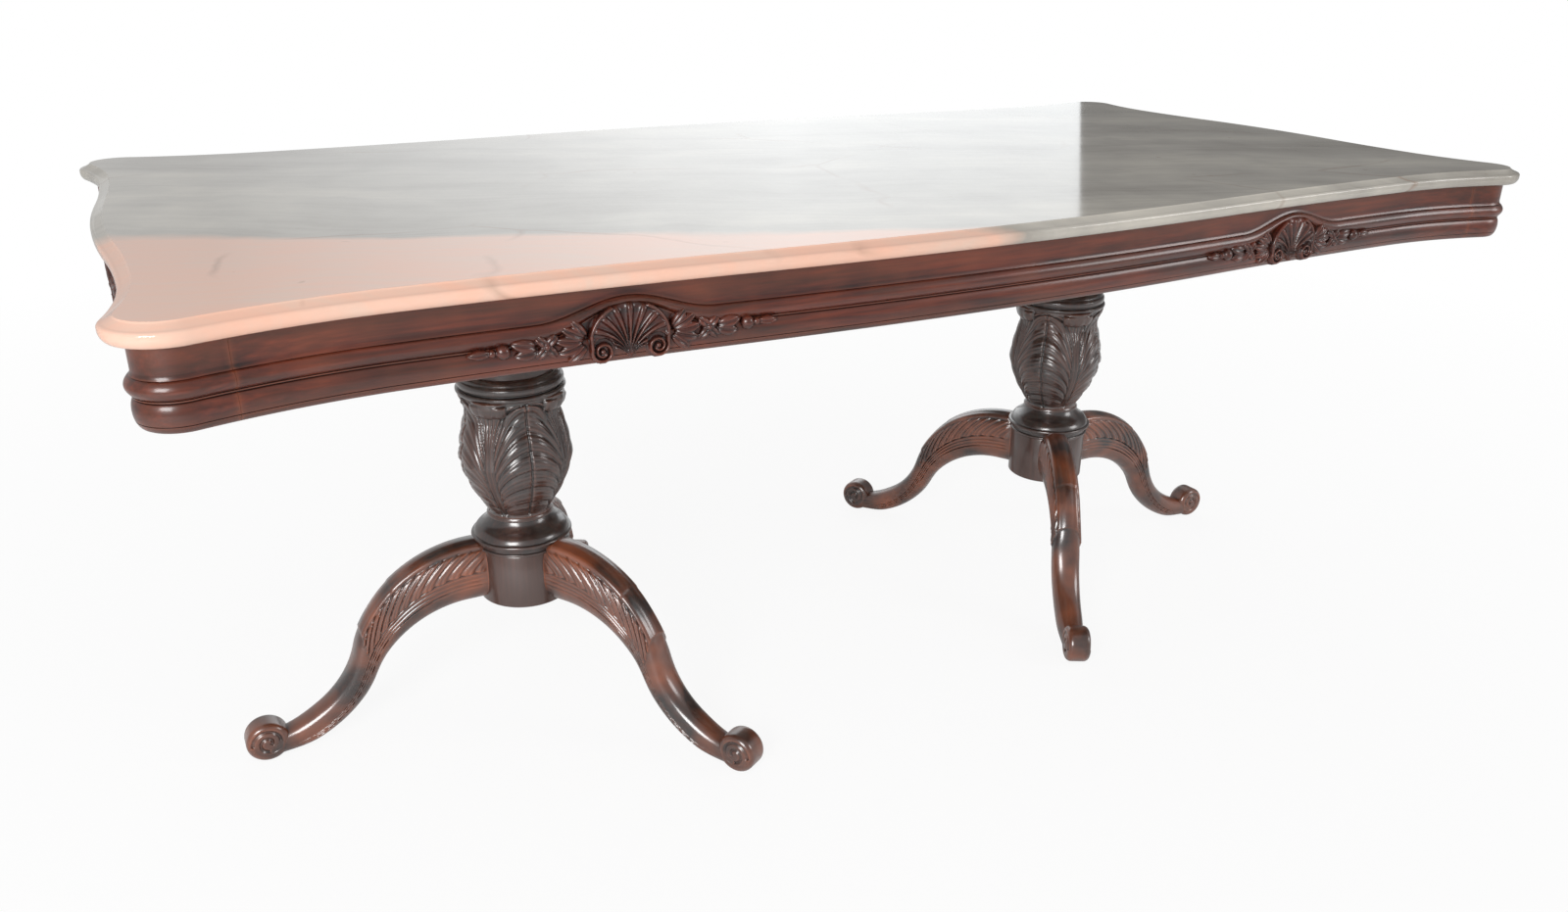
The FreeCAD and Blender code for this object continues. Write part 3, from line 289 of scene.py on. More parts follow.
def finish_colour(name):
    return linear(getattr(sizes("table_finish"), name))


def fill(tree, node, inputs):
    """Sets a node's inputs to values, or links them from sockets or nodes' first outputs in use."""
    for socket, value in inputs.items():
        if isinstance(value, bpy.types.Node):
            value = next(output for output in value.outputs if output.enabled)
        if isinstance(value, bpy.types.NodeSocket):
            tree.links.new(value, node.inputs[socket])
        else:
            node.inputs[socket].default_value = value


def add(tree, kind, inputs=None, stops=(), **settings):
    """A node with its settings, its inputs, and a colour ramp's (place, linear colour) stops. A
    shader node's kind is given without its prefix."""
    node = tree.nodes.new(kind if "Node" in kind else "ShaderNode" + kind)
    for name, value in settings.items():
        setattr(node, name, value)
    fill(tree, node, inputs or {})
    for place, value in stops:
        node.color_ramp.elements.new(place).color = value
    for end in (0, -1) if stops else ():
        node.color_ramp.elements.remove(node.color_ramp.elements[end])
    return node


def new_material(name):
    """An empty material, its node tree and its surface shader."""
    made = bpy.data.materials.new(name)
    made.use_nodes = True
    tree = made.node_tree
    tree.nodes.clear()
    shader = add(tree, "BsdfPrincipled")
    add(tree, "OutputMaterial", {"Surface": shader})
    return made, tree, shader


def per(*millimetres):
    """Scale of a pattern from its sizes along each axis."""
    return tuple(1 / (size * MM) for size in millimetres)


def weighed(tree, *parts):
    """Sum of patterns, each given with its weight."""
    total = 0.0
    for pattern, weight in parts:
        total = add(tree, "Math", {0: pattern, 1: weight, 2: total}, operation="MULTIPLY_ADD")
    return total


def grained_noise(tree, turn, upright, along, across, detail):
    """Noise drawn out along the grain, its spacing given in millimetres along and across it."""
    place = add(tree, "TexCoord").outputs["Object"]
    scale = per(across, across, along) if upright else per(along, across, across)
    turned = add(tree, "Mapping", {"Vector": place, "Rotation": (0, 0, -turn)})
    drawn = add(tree, "Mapping", {"Vector": turned, "Scale": scale})
    inputs = {"Vector": drawn, "Scale": 1.0, "Detail": detail, "Roughness": 0.55}
    return add(tree, "TexNoise", inputs)


# Millimetres along the grain and across it, and the noise's detail; the pores are drawn several times
# too coarse, so that they show
FIGURE, STREAK, PORES, BLOTCH = (260, 34, 3.0), (110, 4.5, 4.0), (12, 1.1, 2.0), (70, 60, 2.0)
# Varnish over the red stain of the frame, and the thicker one over the deep stain of the columns
RED_COAT = {"Coat Weight": 0.5, "Coat Roughness": 0.15, "Coat IOR": 1.5}
DEEP_COAT = {"Coat Weight": 1.0, "Coat Roughness": 0.20, "Coat IOR": 1.75}


# Stained and varnished mahogany: dark red brown with close drawn-out grain, rubbed through to orange
# brown on its edges, under a glossy varnish, with painted shade, near black, in its cuts and recesses
def mahogany(turn=0.0, upright=False, wear=0.5, deep=False):
    way = "upright" if upright else f"turned_{round(math.degrees(turn))}"
    name = f"{'deep' if deep else 'red'}_mahogany_{way}_{round(wear * 100)}"
    if name in bpy.data.materials:
        return bpy.data.materials[name]
    made, tree, shader = new_material(name)
    figure, streak, pores, blotch = (
        grained_noise(tree, turn, upright, *spacing) for spacing in (FIGURE, STREAK, PORES, BLOTCH))
    grain = weighed(tree, (figure, 0.55), (streak, 0.45))
    tones = ("black", "deep", "umber", "worn") if deep else ("dark", "mid", "light", "worn")
    dark, middle, light, worn = (finish_colour("wood_" + tone) for tone in tones)
    stops = ((0.37, dark), (0.49, middle), (0.62, light))
    stain = add(tree, "ValToRGB", {"Fac": grain}, stops)
    edge = add(tree, "NewGeometry").outputs["Pointiness"]
    rubbed = add(tree, "MapRange", {"Value": edge, "From Min": 0.50, "From Max": 0.57})
    patch = add(tree, "MapRange", {"Value": blotch, "From Min": 0.38, "From Max": 0.82})
    rub = weighed(tree, (rubbed, 0.75), (patch, wear))
    rub = add(tree, "Math", {0: rub, 1: wear}, operation="MULTIPLY", use_clamp=True)
    coloured = add(tree, "Mix", {0: rub, 6: stain, 7: worn}, data_type="RGBA")
    # Painted shade: where ambient occlusion finds cuts, creases and recesses, the wood is mixed towards
    # its darkest tone; hollow is that painted shade's mask
    shade = add(tree, "AmbientOcclusion", {"Distance": 14 * MM}, samples=5, only_local=True)
    hollow = {"Value": shade.outputs["AO"], "From Min": 0.35, "From Max": 0.85}
    hollow = add(tree, "MapRange", hollow)
    coloured = add(tree, "Mix", {0: hollow, 6: dark, 7: coloured}, data_type="RGBA")
    dull = 0.30 if deep else 0.26
    rough = add(tree, "MapRange", {"Value": blotch, "To Min": dull, "To Max": dull + 0.16})
    bump = add(tree, "Bump", {"Height": pores, "Strength": 0.25, "Distance": 0.2 * MM})
    fill(tree, shader, {"Base Color": coloured, "Roughness": rough, "Normal": bump, "IOR": 1.5})
    fill(tree, shader, DEEP_COAT if deep else RED_COAT)
    return made


# Turn of the marble's bedding on plan, and the pink bed's border across it, in metres
BEDDING = math.radians(-23)
PINK_EDGE = -0.476
PINK_BLUR = 0.012
# Millimetres along the bedding, across it and down through it
BEDS, STREAKS = (700, 120, 300), (250, 12, 50)
# Millimetres of the beds' wander, of clouds, of the net of veins, of its open stretches and of specks
WANDER, CLOUDS, VEINS, GATES, SPECKS = 350, 90, 420, 220, 55


# Polished bedded marble: grey and cream streaks along its bedding, one pink bed at a corner, thin
# brown veins and a few dark specks, polished to a mirror sheen
def polished_marble():
    made, tree, shader = new_material("polished_marble")
    place = add(tree, "TexCoord").outputs["Object"]
    turned = add(tree, "Mapping", {"Vector": place, "Rotation": (0, 0, -BEDDING)})
    wander = {"Vector": turned, "Scale": per(WANDER)[0], "Detail": 5.0}
    wander = add(tree, "TexNoise", wander).outputs["Color"]
    shift = add(tree, "VectorMath", {0: wander, 1: (0.5, 0.5, 0.5)}, operation="SUBTRACT")
    shift = add(tree, "VectorMath", {0: shift, "Scale": 0.16}, operation="SCALE")
    bent = add(tree, "VectorMath", {0: turned, 1: shift})
    beds, streaks = (
        add(tree, "TexNoise", {
            "Vector": add(tree, "Mapping", {"Vector": bent, "Scale": per(*spacing)}),
            "Scale": 1.0, "Detail": detail})
        for spacing, detail in ((BEDS, 7.0), (STREAKS, 4.0)))
    mottle = add(tree, "TexNoise", {"Vector": bent, "Scale": per(CLOUDS)[0], "Detail": 6.0})
    tone = weighed(tree, (beds, 0.55), (streaks, 0.15), (mottle, 0.30))
    names = ("grey", "pale", "cloud", "pink", "vein")
    grey, pale, cloud, pink, brown = (finish_colour("marble_" + name) for name in names)
    stops = ((0.34, cloud), (0.50, grey), (0.66, pale))
    stone = add(tree, "ValToRGB", {"Fac": tone}, stops)
    paler = add(tree, "Math", {0: streaks, 1: mottle}, operation="MULTIPLY")
    rosy = add(tree, "Mix", {0: weighed(tree, (paler, 1.1)), 6: pink, 7: pale}, data_type="RGBA")
    across = add(tree, "SeparateXYZ", {"Vector": bent}).outputs["Y"]
    in_pink = add(tree, "MapRange", {
        "Value": across, "From Min": PINK_EDGE + PINK_BLUR, "From Max": PINK_EDGE - PINK_BLUR})
    stone = add(tree, "Mix", {0: in_pink, 6: stone, 7: rosy}, data_type="RGBA")
    crack = {"Vector": bent, "Scale": per(VEINS)[0]}
    crack = add(tree, "TexVoronoi", crack, feature="DISTANCE_TO_EDGE")
    grit = add(tree, "TexVoronoi", {"Vector": bent, "Scale": per(SPECKS)[0]})
    gate = add(tree, "TexNoise", {"Vector": bent, "Scale": per(GATES)[0], "Detail": 2.0})
    gate = add(tree, "MapRange", {"Value": gate, "From Min": 0.52, "From Max": 0.66})
    for pattern, near, far, depth in ((crack, 0.0, 0.012, 0.55), (grit, 0.03, 0.09, 0.5)):
        mark = add(tree, "MapRange", {
            "Value": pattern, "From Min": near, "From Max": far, "To Min": depth, "To Max": 0.0})
        mark = add(tree, "Math", {0: mark, 1: gate}, operation="MULTIPLY")
        stone = add(tree, "Mix", {0: mark, 6: stone, 7: brown}, data_type="RGBA")
    polish = add(tree, "MapRange", {"Value": beds, "To Min": 0.05, "To Max": 0.11})
    fill(tree, shader, {"Base Color": stone, "Roughness": polish, "IOR": 1.55})
    return made


# Plain finishes, each with the size of its spots in millimetres: rough sawn carcass wood, dull and
# streaked; drawn steel and turned brass, bright and finely marked; moulded rubber, dull and even
def plain_finish(name, colour_name, spot, roughness, metallic=0.0):
    made, tree, shader = new_material(name)
    place = add(tree, "TexCoord").outputs["Object"]
    drawn = add(tree, "Mapping", {"Vector": place, "Scale": per(*spot)})
    grain = add(tree, "TexNoise", {"Vector": drawn, "Scale": 1.0, "Detail": 4.0})
    base = finish_colour(colour_name)
    deep = (*(c * 0.55 for c in base[:3]), 1.0)
    tone = add(tree, "ValToRGB", {"Fac": grain}, ((0.35, deep), (0.65, base)))
    rough = add(tree, "MapRange", {
        "Value": grain, "To Min": roughness - 0.1, "To Max": roughness + 0.1})
    fill(tree, shader, {"Base Color": tone, "Roughness": rough, "Metallic": metallic})
    return made


# Meshes from rows of points
def grid_faces(rows, columns, closed=True):
    """Quads between rows of points; closed joins each row's last point to its first."""
    row = np.arange(rows - 1)[:, None] * columns
    column = np.arange(columns if closed else columns - 1)[None, :]
    after = (column + 1) % columns
    quads = [row + column, row + after, row + columns + after, row + columns + column]
    return np.stack(quads, axis=-1).reshape(-1, 4).tolist()


def tube_faces(rows, columns):
    """Quads between closed rows of points, and a face across each end."""
    ends = [list(range(columns)), list(range((rows - 1) * columns, rows * columns))]
    return grid_faces(rows, columns) + ends


def put(name, data):
    """An object in the scene, made of a mesh, a lamp or a camera."""
    made = bpy.data.objects.new(name, data)
    bpy.context.collection.objects.link(made)
    return made


def new_piece(name, points, faces, material, body=FRAME_BODY, sharp=None):
    """A piece of the object with its points in the table's frame."""
    mesh = bpy.data.meshes.new(name)
    mesh.from_pydata(np.asarray(points).reshape(-1, 3).tolist(), [], faces)
    mesh.validate()
    mesh.shade_smooth()
    if sharp:
        mesh.set_sharp_from_angle(angle=math.radians(sharp))
    piece = put(name, mesh)
    mesh.materials.append(material)
    face_outwards(mesh)
    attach(piece, body)
    return piece


def face_outwards(mesh):
    work = bmesh.new()
    work.from_mesh(mesh)
    bmesh.ops.recalc_face_normals(work, faces=work.faces)
    work.to_mesh(mesh)
    work.free()


def grain_turn(name):
    """Turn of the grain in a piece that runs along a side or an end."""
    return math.pi / 2 if "end" in name else 0.0


# Curves and swellings
def smooth_step(value, low, high):
    t = np.clip((value - low) / (high - low), 0, 1)
    return t * t * (3 - 2 * t)


def dome(value):
    """Half round: 1 in its middle, 0 from 1 on."""
    return np.sqrt(np.clip(1 - value**2, 0, 1))


def hump(value, width):
    return np.exp(-((value / width) ** 2))


def signed_power(value, power):
    return np.sign(value) * np.abs(value) ** power


def distances(points):
    """Distance along a chain of points to each of them."""
    return np.concatenate([[0], np.cumsum(np.hypot(*np.diff(points, axis=0).T))])


def between(at, along, points):
    """Points at distances along a chain."""
    return np.stack([np.interp(at, along, points[:, axis]) for axis in (0, 1)], axis=-1)


def arc_through(first, middle, last, steps):
    """Points of the circular arc through three points, the first left out."""
    a, b, c = (np.array(point, dtype=float) for point in (first, middle, last))
    near, far = b - a, c - a
    turn = 2 * (near[0] * far[1] - near[1] * far[0])
    ab, ac = near @ near, far @ far
    centre = a + np.array([far[1] * ab - near[1] * ac, near[0] * ac - far[0] * ab]) / turn
    start, mid, end = (math.atan2(*(point - centre)[::-1]) for point in (a, b, c))
    sweep = (end - start) % (2 * math.pi)
    if (mid - start) % (2 * math.pi) > sweep:
        sweep -= 2 * math.pi
    angles = start + sweep * np.arange(1, steps + 1) / steps
    return centre + np.hypot(*(a - centre)) * np.stack([np.cos(angles), np.sin(angles)], axis=-1)


# Serpentine outline: arcs that meet tangentially
class Side:
    """One side of the outline in its own axes: along the side, and out from the middle."""

    def __init__(self, kind, reach, half_run):
        plan, apron = sizes("table_slab"), sizes("table_apron")
        self.lobe_radius = plan.corner_radius
        self.lobe = (half_run - self.lobe_radius, reach - self.lobe_radius)
        self.dip_place = getattr(plan, kind + "_dip_place")
        self.dip_level = reach - getattr(plan, kind + "_dip_depth")
        self.belly_level = reach - getattr(plan, kind + "_belly_drop")
        run, rise = self.dip_place - self.lobe[0], self.dip_level - self.lobe[1]
        self.outer_radius = (run**2 + rise**2 - self.lobe_radius**2) / (2 * (self.lobe_radius - rise))
        drop = self.belly_level - self.dip_level
        self.inner_radius = (self.dip_place**2 + drop**2) / (4 * drop)
        self.lobe_turn = math.atan2(-run, self.dip_level + self.outer_radius - self.lobe[1])
        self.belly_turn = math.asin(self.dip_place / (2 * self.inner_radius))
        joint_run = getattr(apron, kind + "_joint_place") - self.dip_place
        self.joint_turn = math.asin(joint_run / self.outer_radius)

    def arcs(self):
        """Centre, radius, bulge and angles of the arcs between the side's joints, from +X to -X."""
        dip = (self.dip_place, self.dip_level + self.outer_radius)
        inner = (self.dip_place, self.dip_level + self.inner_radius)
        belly = (0.0, self.belly_level - self.inner_radius)
        down, out = -math.pi / 2, math.pi / 2
        return [
            (dip, self.outer_radius, -1, down + self.joint_turn, down),
            (inner, self.inner_radius, -1, down, down - self.belly_turn),
            (belly, self.inner_radius, 1, out - self.belly_turn, out + self.belly_turn),
            ((-inner[0], inner[1]), self.inner_radius, -1, down + self.belly_turn, down),
            ((-dip[0], dip[1]), self.outer_radius, -1, down, down - self.joint_turn),
        ]

    def corner_arcs(self, following):
        """Arcs from this side's last joint round the corner to the next side's first joint."""
        down, out = -math.pi / 2, math.pi / 2
        first_dip = (-self.dip_place, self.dip_level + self.outer_radius)
        lobe = (-self.lobe[0], self.lobe[1])
        second_dip = (following.dip_place, following.dip_level + following.outer_radius)
        turned = (-second_dip[1], second_dip[0])
        return [
            (first_dip, self.outer_radius, -1, down - self.joint_turn, down - self.lobe_turn),
            (lobe, self.lobe_radius, 1, out - self.lobe_turn, math.pi + following.lobe_turn),
            (turned, following.outer_radius, -1, following.lobe_turn, following.joint_turn),
        ]


class Run:
    """A stretch of the outline: places on the slab's nose, outward directions, distances along."""

    def __init__(self, arcs, turn, step=2.5 * MM):
        cos, sin = round(math.cos(turn)), round(math.sin(turn))
        spin = np.array([[cos, sin], [-sin, cos]])
        places, outs = [], []
        for centre, radius, bulge, start, end in arcs:
            steps = max(4, math.ceil(abs(end - start) * radius / step))
            angles = np.linspace(start, end, steps + 1)[1 if places else 0:]
            ray = np.stack([np.cos(angles), np.sin(angles)], axis=-1)
            places.append((np.array(centre) + radius * ray) @ spin)
            outs.append(bulge * ray @ spin)
        self.place, self.out = np.concatenate(places), np.concatenate(outs)
        self.along = distances(self.place)

    def at(self, along):
        """Places and outward directions at distances along the run."""
        out = between(along, self.along, self.out)
        return between(along, self.along, self.place), out / np.hypot(*out.T)[..., None]

    def where(self, axis, value):
        """Distance along the run at which a coordinate has a value."""
        order = np.argsort(self.place[:, axis])
        return float(np.interp(value, self.place[order, axis], self.along[order]))


def serpentine():
    """The rails and corner blocks as runs of the outline, in order round the table."""
    long_side = Side("long", SLAB_HALF.y, SLAB_HALF.x)
    end_side = Side("end", SLAB_HALF.x, SLAB_HALF.y)
    rails = ("back_rail", "left_end_rail", "front_rail", "right_end_rail")
    blocks = ("back_left", "front_left", "front_right", "back_right")
    runs = {}
    for quarter, (rail, block) in enumerate(zip(rails, blocks)):
        side, following = (long_side, end_side) if quarter % 2 == 0 else (end_side, long_side)
        turn = quarter * math.pi / 2
        runs[rail] = Run(side.arcs(), turn)
        runs[block + "_corner_block"] = Run(side.corner_arcs(following), turn)
    return runs


# Shells: rail, the coordinate that runs along it, and the shell's place on it
SHELLS = {
    "front_left_shell": ("front_rail", 0, -COLUMN_X),
    "front_right_shell": ("front_rail", 0, COLUMN_X),
    "back_left_shell": ("back_rail", 0, -COLUMN_X),
    "back_right_shell": ("back_rail", 0, COLUMN_X),
    "left_end_shell": ("left_end_rail", 1, 0.0),
    "right_end_shell": ("right_end_rail", 1, 0.0),
}


class TABLE_OT_slab(bpy.types.Operator):
    """Marble slab with its moulded edge"""

    bl_idname = "table.slab"
    bl_label = "Marble slab"

    def execute(self, context):
        edge = sizes("table_slab")
        top, bottom = SLAB_HIGH.z, SLAB_LOW.z
        width, quirk = edge.edge_width, edge.edge_quirk
        nose = top - edge.nose_drop
        roll = 0.3 * width
        profile = [(width + 0.4 * quirk, top), (width, top - 0.3 * quirk)]
        profile.append((width - 0.2 * quirk, top - quirk))
        hollow = arc_through(profile[-1], (0.62 * width, top - 0.34 * edge.nose_drop),
                             (roll, top - 0.52 * edge.nose_drop), 8)
        nosing = arc_through(hollow[-1], (0.1 * roll, nose + 0.3 * (top - nose)), (0, nose), 6)
        under = arc_through((0, nose), (0.1 * edge.under_inset, nose - 0.4 * (nose - bottom)),
                            (edge.under_inset - 1 * MM, bottom + 0.6 * MM), 8)
        profile += [*hollow, *nosing, *under, (edge.under_inset + 0.5 * MM, bottom)]
        runs = serpentine().values()
        place = np.concatenate([run.place[:-1] for run in runs])
        out = np.concatenate([run.out[:-1] for run in runs])
        rows = []
        for inset, level in profile:
            rows.append(np.column_stack([place - out * max(inset, 0.0), np.full(len(place), level)]))
        faces = tube_faces(len(rows), len(place))
        stone = polished_marble()
        piece = new_piece("marble_slab", np.concatenate(rows), faces, stone, SLAB_BODY)
        for cap in piece.data.polygons[-2:]:
            cap.use_smooth = False
        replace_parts(piece, "marble_top")
        return {"FINISHED"}


# Edges of the fine line in the lower moulding, in degrees round its foot
LINE_TURNS = (32, 34)


class TABLE_OT_apron(bpy.types.Operator):
    """Moulded rails and corner blocks, their bead arched over the shells"""

    bl_idname = "table.apron"
    bl_label = "Moulded frame"

    def execute(self, context):
        apron = sizes("table_apron")
        for name, run in serpentine().items():
            start, end = apron.joint_gap / 2, run.along[-1] - apron.joint_gap / 2
            stations = np.linspace(start, end, math.ceil((end - start) / (3 * MM)))
            lift = np.zeros_like(stations)
            for rail, axis, value in SHELLS.values():
                if rail == name:
                    away = np.clip(np.abs(stations - run.where(axis, value)) / apron.arch_half, 0, 1)
                    lift += apron.arch_rise * (0.5 + 0.5 * np.cos(np.pi * away))
            place, out = run.at(stations)
            reach, level = self.section(apron, lift)
            points = np.empty(reach.shape + (3,))
            points[..., :2] = place[:, None] + out[:, None] * (reach - apron.fascia_inset)[..., None]
            points[..., 2] = APRON_TOP + level
            wood = mahogany(grain_turn(name), wear=0.45)
            piece = new_piece(name + "_moulding", points, tube_faces(*reach.shape), wood, sharp=40)
            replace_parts(piece, name)
        return {"FINISHED"}

    def section(self, apron, lift):
        """Reach out from the fascia and level under the frame's top, for each station's lift."""
        flat = np.zeros_like(lift)
        top = flat - apron.fascia_height + lift
        foot = flat - apron.fascia_height - apron.bead_height + apron.arch_pinch * lift
        ledge = flat - apron.fascia_height - apron.bead_height - apron.notch_height
        bottom = flat + APRON_FOOT - APRON_TOP
        inner, soft, crest = flat - apron.thickness, 1.2 * MM, ledge - apron.torus_rise
        rows = [(inner, flat), (flat - soft, flat), (flat, flat - soft)]
        for t in np.linspace(0, 1, 6):
            rows.append((flat + apron.cove_reach * t**2, top + apron.cove_height * (1 - t)))
        rows.append((flat + apron.cove_reach - apron.line_depth, top - 0.3 * soft))
        for t in np.linspace(-0.9, 1, 15):
            swell = (apron.bead_reach - apron.cove_reach) * max(0.0, math.cos(math.pi * t / 2)) ** 0.8
            rows.append((flat + apron.cove_reach + swell, (top + foot - (top - foot) * t) / 2))
        fillet, notch = flat + apron.fillet_reach, flat + apron.notch_reach
        rows += [(fillet, foot - 0.1 * soft), (fillet, foot - 0.9 * soft)]
        rows += [(notch, foot - soft), (notch, ledge)]
        for turn in np.linspace(0, math.pi / 2, 9)[1:]:
            swell = (apron.torus_reach - apron.notch_reach) * math.sin(turn)
            rows.append((notch + swell, ledge + (crest - ledge) * (1 - math.cos(turn))))
        for degrees in (12, 24, 31, 32, 34, 35, 42, 52, 62, 72, 81, 90):
            turn = math.radians(degrees)
            swell = (apron.torus_reach - apron.foot_reach) * math.cos(turn)
            swell -= apron.line_depth if degrees in LINE_TURNS else 0.0
            rows.append((flat + apron.foot_reach + swell, crest + (bottom - crest) * math.sin(turn)))
        rows.append((inner, bottom))
        return tuple(np.stack(values, axis=1) for values in zip(*rows))


class Relief:
    """A carved surface over a rail's face: how far each point stands out from the fascia."""

    def __init__(self, half_run, height, spacing, ground):
        columns, rows = round(2 * half_run / spacing), round(height / spacing)
        self.along, self.up = np.meshgrid(
            np.linspace(-half_run, half_run, columns + 1), np.linspace(0, height, rows + 1)
        )
        self.out = np.full_like(self.along, ground)

    def raise_to(self, inside, reach):
        self.out = np.where(inside, np.maximum(self.out, reach), self.out)

    def lobe(self, place, half_long, half_wide, lean, base, swell, cut=0.0, point=0.0):
        """A swelling leaf or petal, with a cut along its middle and, if asked, a drawn-out tip."""
        cos, sin = math.cos(lean), math.sin(lean)
        x, z = self.along - place[0], self.up - place[1]
        long, wide = (x * cos + z * sin) / half_long, (z * cos - x * sin) / half_wide
        wide = wide / np.clip(1 - point * np.clip(long, 0, 1) ** 1.5, 0.05, 1)
        size = np.hypot(long, wide)
        self.raise_to(size < 1, base + swell * dome(size) - cut * hump(wide, 0.22))

    def ball(self, place, radius, base):
        self.lobe(place, radius, radius, 0.0, base, radius)

    def ridge(self, points, half_wide, base, swell):
        """A rounded band along a chain of points, thinning to its end."""
        for number in range(len(points) - 1):
            a, b = np.array(points[number]), np.array(points[number + 1])
            step = b - a
            t = ((self.along - a[0]) * step[0] + (self.up - a[1]) * step[1]) / (step @ step)
            t = np.clip(t, 0, 1)
            gap = np.hypot(self.along - a[0] - t * step[0], self.up - a[1] - t * step[1])
            wide = half_wide * (1 - 0.45 * (number + t) / len(points))
            self.raise_to(gap < wide, base + swell * dome(gap / wide))


def carve_shell(carving):
    """Relief of one shell: fluted fan, two volutes, and a spray of leaves on each side."""
    relief = Relief(carving.half_run, carving.height, carving.grid, -carving.bury)
    spread = carving.fan_spread
    away = np.maximum(np.hypot(relief.along, relief.up - carving.fan_focus), 1e-6)
    turn = np.arctan2(relief.along, relief.up - carving.fan_focus)
    sin, cos = np.sin(turn) / carving.fan_half, np.cos(turn) / carving.fan_rise
    lift = (carving.fan_centre - carving.fan_focus) / carving.fan_rise
    rim = (lift * cos + np.sqrt(cos**2 + sin**2 * (1 - lift**2))) / (sin**2 + cos**2)
    rise = away / rim
    fanned = turn / np.clip(rise, 0.05, 1.2) ** carving.fan_bend
    place = (carving.flutes * fanned / (2 * spread)) % 1.0
    gap = np.abs(2 * place - 1)
    hollow = 1 - carving.rib_width
    flute = dome(np.clip(gap, 0, hollow) / hollow)
    rib = dome((gap - 1) / carving.rib_width)
    rim_roll = 0.12
    roll = dome(np.clip(rise - 1 + rim_roll, 0, rim_roll) / rim_roll)
    carved = carving.fan_reach + carving.fan_swell * np.sin(0.62 * np.pi * np.clip(rise, 0, 1) ** 1.3)
    carved = carved - carving.flute_depth * flute * smooth_step(rise, 0.08, 0.3)
    carved = carved + carving.rib_swell * rib
    inside = (rise < 1) & (np.abs(fanned) < spread)
    relief.raise_to(inside, carving.rim_reach + (carved - carving.rim_reach) * roll)
    for side in (-1, 1):
        carve_volute(relief, carving, side)
        carve_spray(relief, carving.spray_level, side)
    return relief


# Volutes, in millimetres: reach of the ground under them; half width, reach and swell of their band,
# its place inside their rim and its last turn's radius; radius and reach of their eye
VOLUTE_GROUND = 9.0
BAND_HALF, BAND_REACH, BAND_SWELL, BAND_INSET, BAND_END = 2.7, 10.5, 5.0, 2.4, 4.4
EYE_RADIUS, EYE_REACH = 3.2, 12.0


def carve_volute(relief, carving, side):
    """Volute at the foot of the fan: a band that winds in to a round eye."""
    eye = np.array([side * carving.volute_place, carving.volute_level])
    ring = np.hypot(relief.along - eye[0], relief.up - eye[1])
    relief.out = np.where(ring < carving.volute_radius, VOLUTE_GROUND * MM, relief.out)
    points = []
    for t in np.linspace(0, 1, 12, endpoint=False):
        lean = math.radians(62 - 56 * t)
        swing = np.array([side * carving.fan_half * math.cos(lean), carving.fan_rise * math.sin(lean)])
        points.append(np.array([0, carving.fan_centre]) + 0.97 * swing)
    for t in np.linspace(0, 1, 44):
        lean = math.radians(20) - 2 * math.pi * carving.volute_turns * t
        reach = (carving.volute_radius - BAND_INSET * MM) * (1 - t) + BAND_END * MM * t
        points.append(eye + reach * np.array([side * math.cos(lean), math.sin(lean)]))
    relief.ridge(points, BAND_HALF * MM, BAND_REACH * MM, BAND_SWELL * MM)
    relief.ball(eye, EYE_RADIUS * MM, EYE_REACH * MM)


# Sprays, in millimetres. Leaves: place along the rail and over the spray's middle, half length and
# width, lean in degrees, reach, swell, cut, and the share by which the tip narrows
SPRAY_LEAVES = (
    (55, 15, 13, 6, 50, 9, 6.5, 2.6, 0.45),
    (61, 10, 15, 7, 30, 9, 6.5, 2.6, 0.45),
    (66, 2, 15, 7.2, 10, 9, 6.5, 2.6, 0.45),
    (64, -6, 15, 7.2, -14, 9, 6.5, 2.6, 0.45),
    (57, -12, 13, 6.5, -38, 9, 6.5, 2.6, 0.45),
    (113, 4, 14, 8, 12, 9, 6.5, 2, 0.5),
    (111, -5, 13, 7.5, -8, 9, 6, 2, 0.5),
    (159, 0, 12.5, 5.4, 0, 8.5, 5, 1.6, 0.7),
)
# Flower's petals: their middles along and up from its own; half length and width, reach, swell, cut
FLOWER_PLACE, PETAL_ALONG, PETAL_UP = 89, 7.0, 8.0
PETAL = (9.0, 5.6, 9.0, 5.5, 2.6)
# Flower's middle and berries: place along the rail, radius and reach
SPRAY_BALLS = ((FLOWER_PLACE, 3.4, 12), (134, 8, 8.5), (145, 4.2, 9.5))


def carve_spray(relief, level, side):
    """Spray beside a shell: lobed leaf, flower, bud, berries and a leaf tip, out along the rail."""
    for along, up, long, wide, degrees, base, swell, cut, point in SPRAY_LEAVES:
        lean = math.radians(degrees if side > 0 else 180 - degrees)
        middle = (side * along * MM, level + up * MM)
        relief.lobe(middle, long * MM, wide * MM, lean, base * MM, swell * MM, cut * MM, point)
    long, wide, base, swell, cut = (size * MM for size in PETAL)
    for quarter in range(4):
        lean = math.pi / 4 + quarter * math.pi / 2
        along = side * FLOWER_PLACE + PETAL_ALONG * math.cos(lean)
        middle = (along * MM, level + PETAL_UP * math.sin(lean) * MM)
        relief.lobe(middle, long, wide, lean, base, swell, cut)
    for along, radius, base in SPRAY_BALLS:
        relief.ball((side * along * MM, level), radius * MM, base * MM)


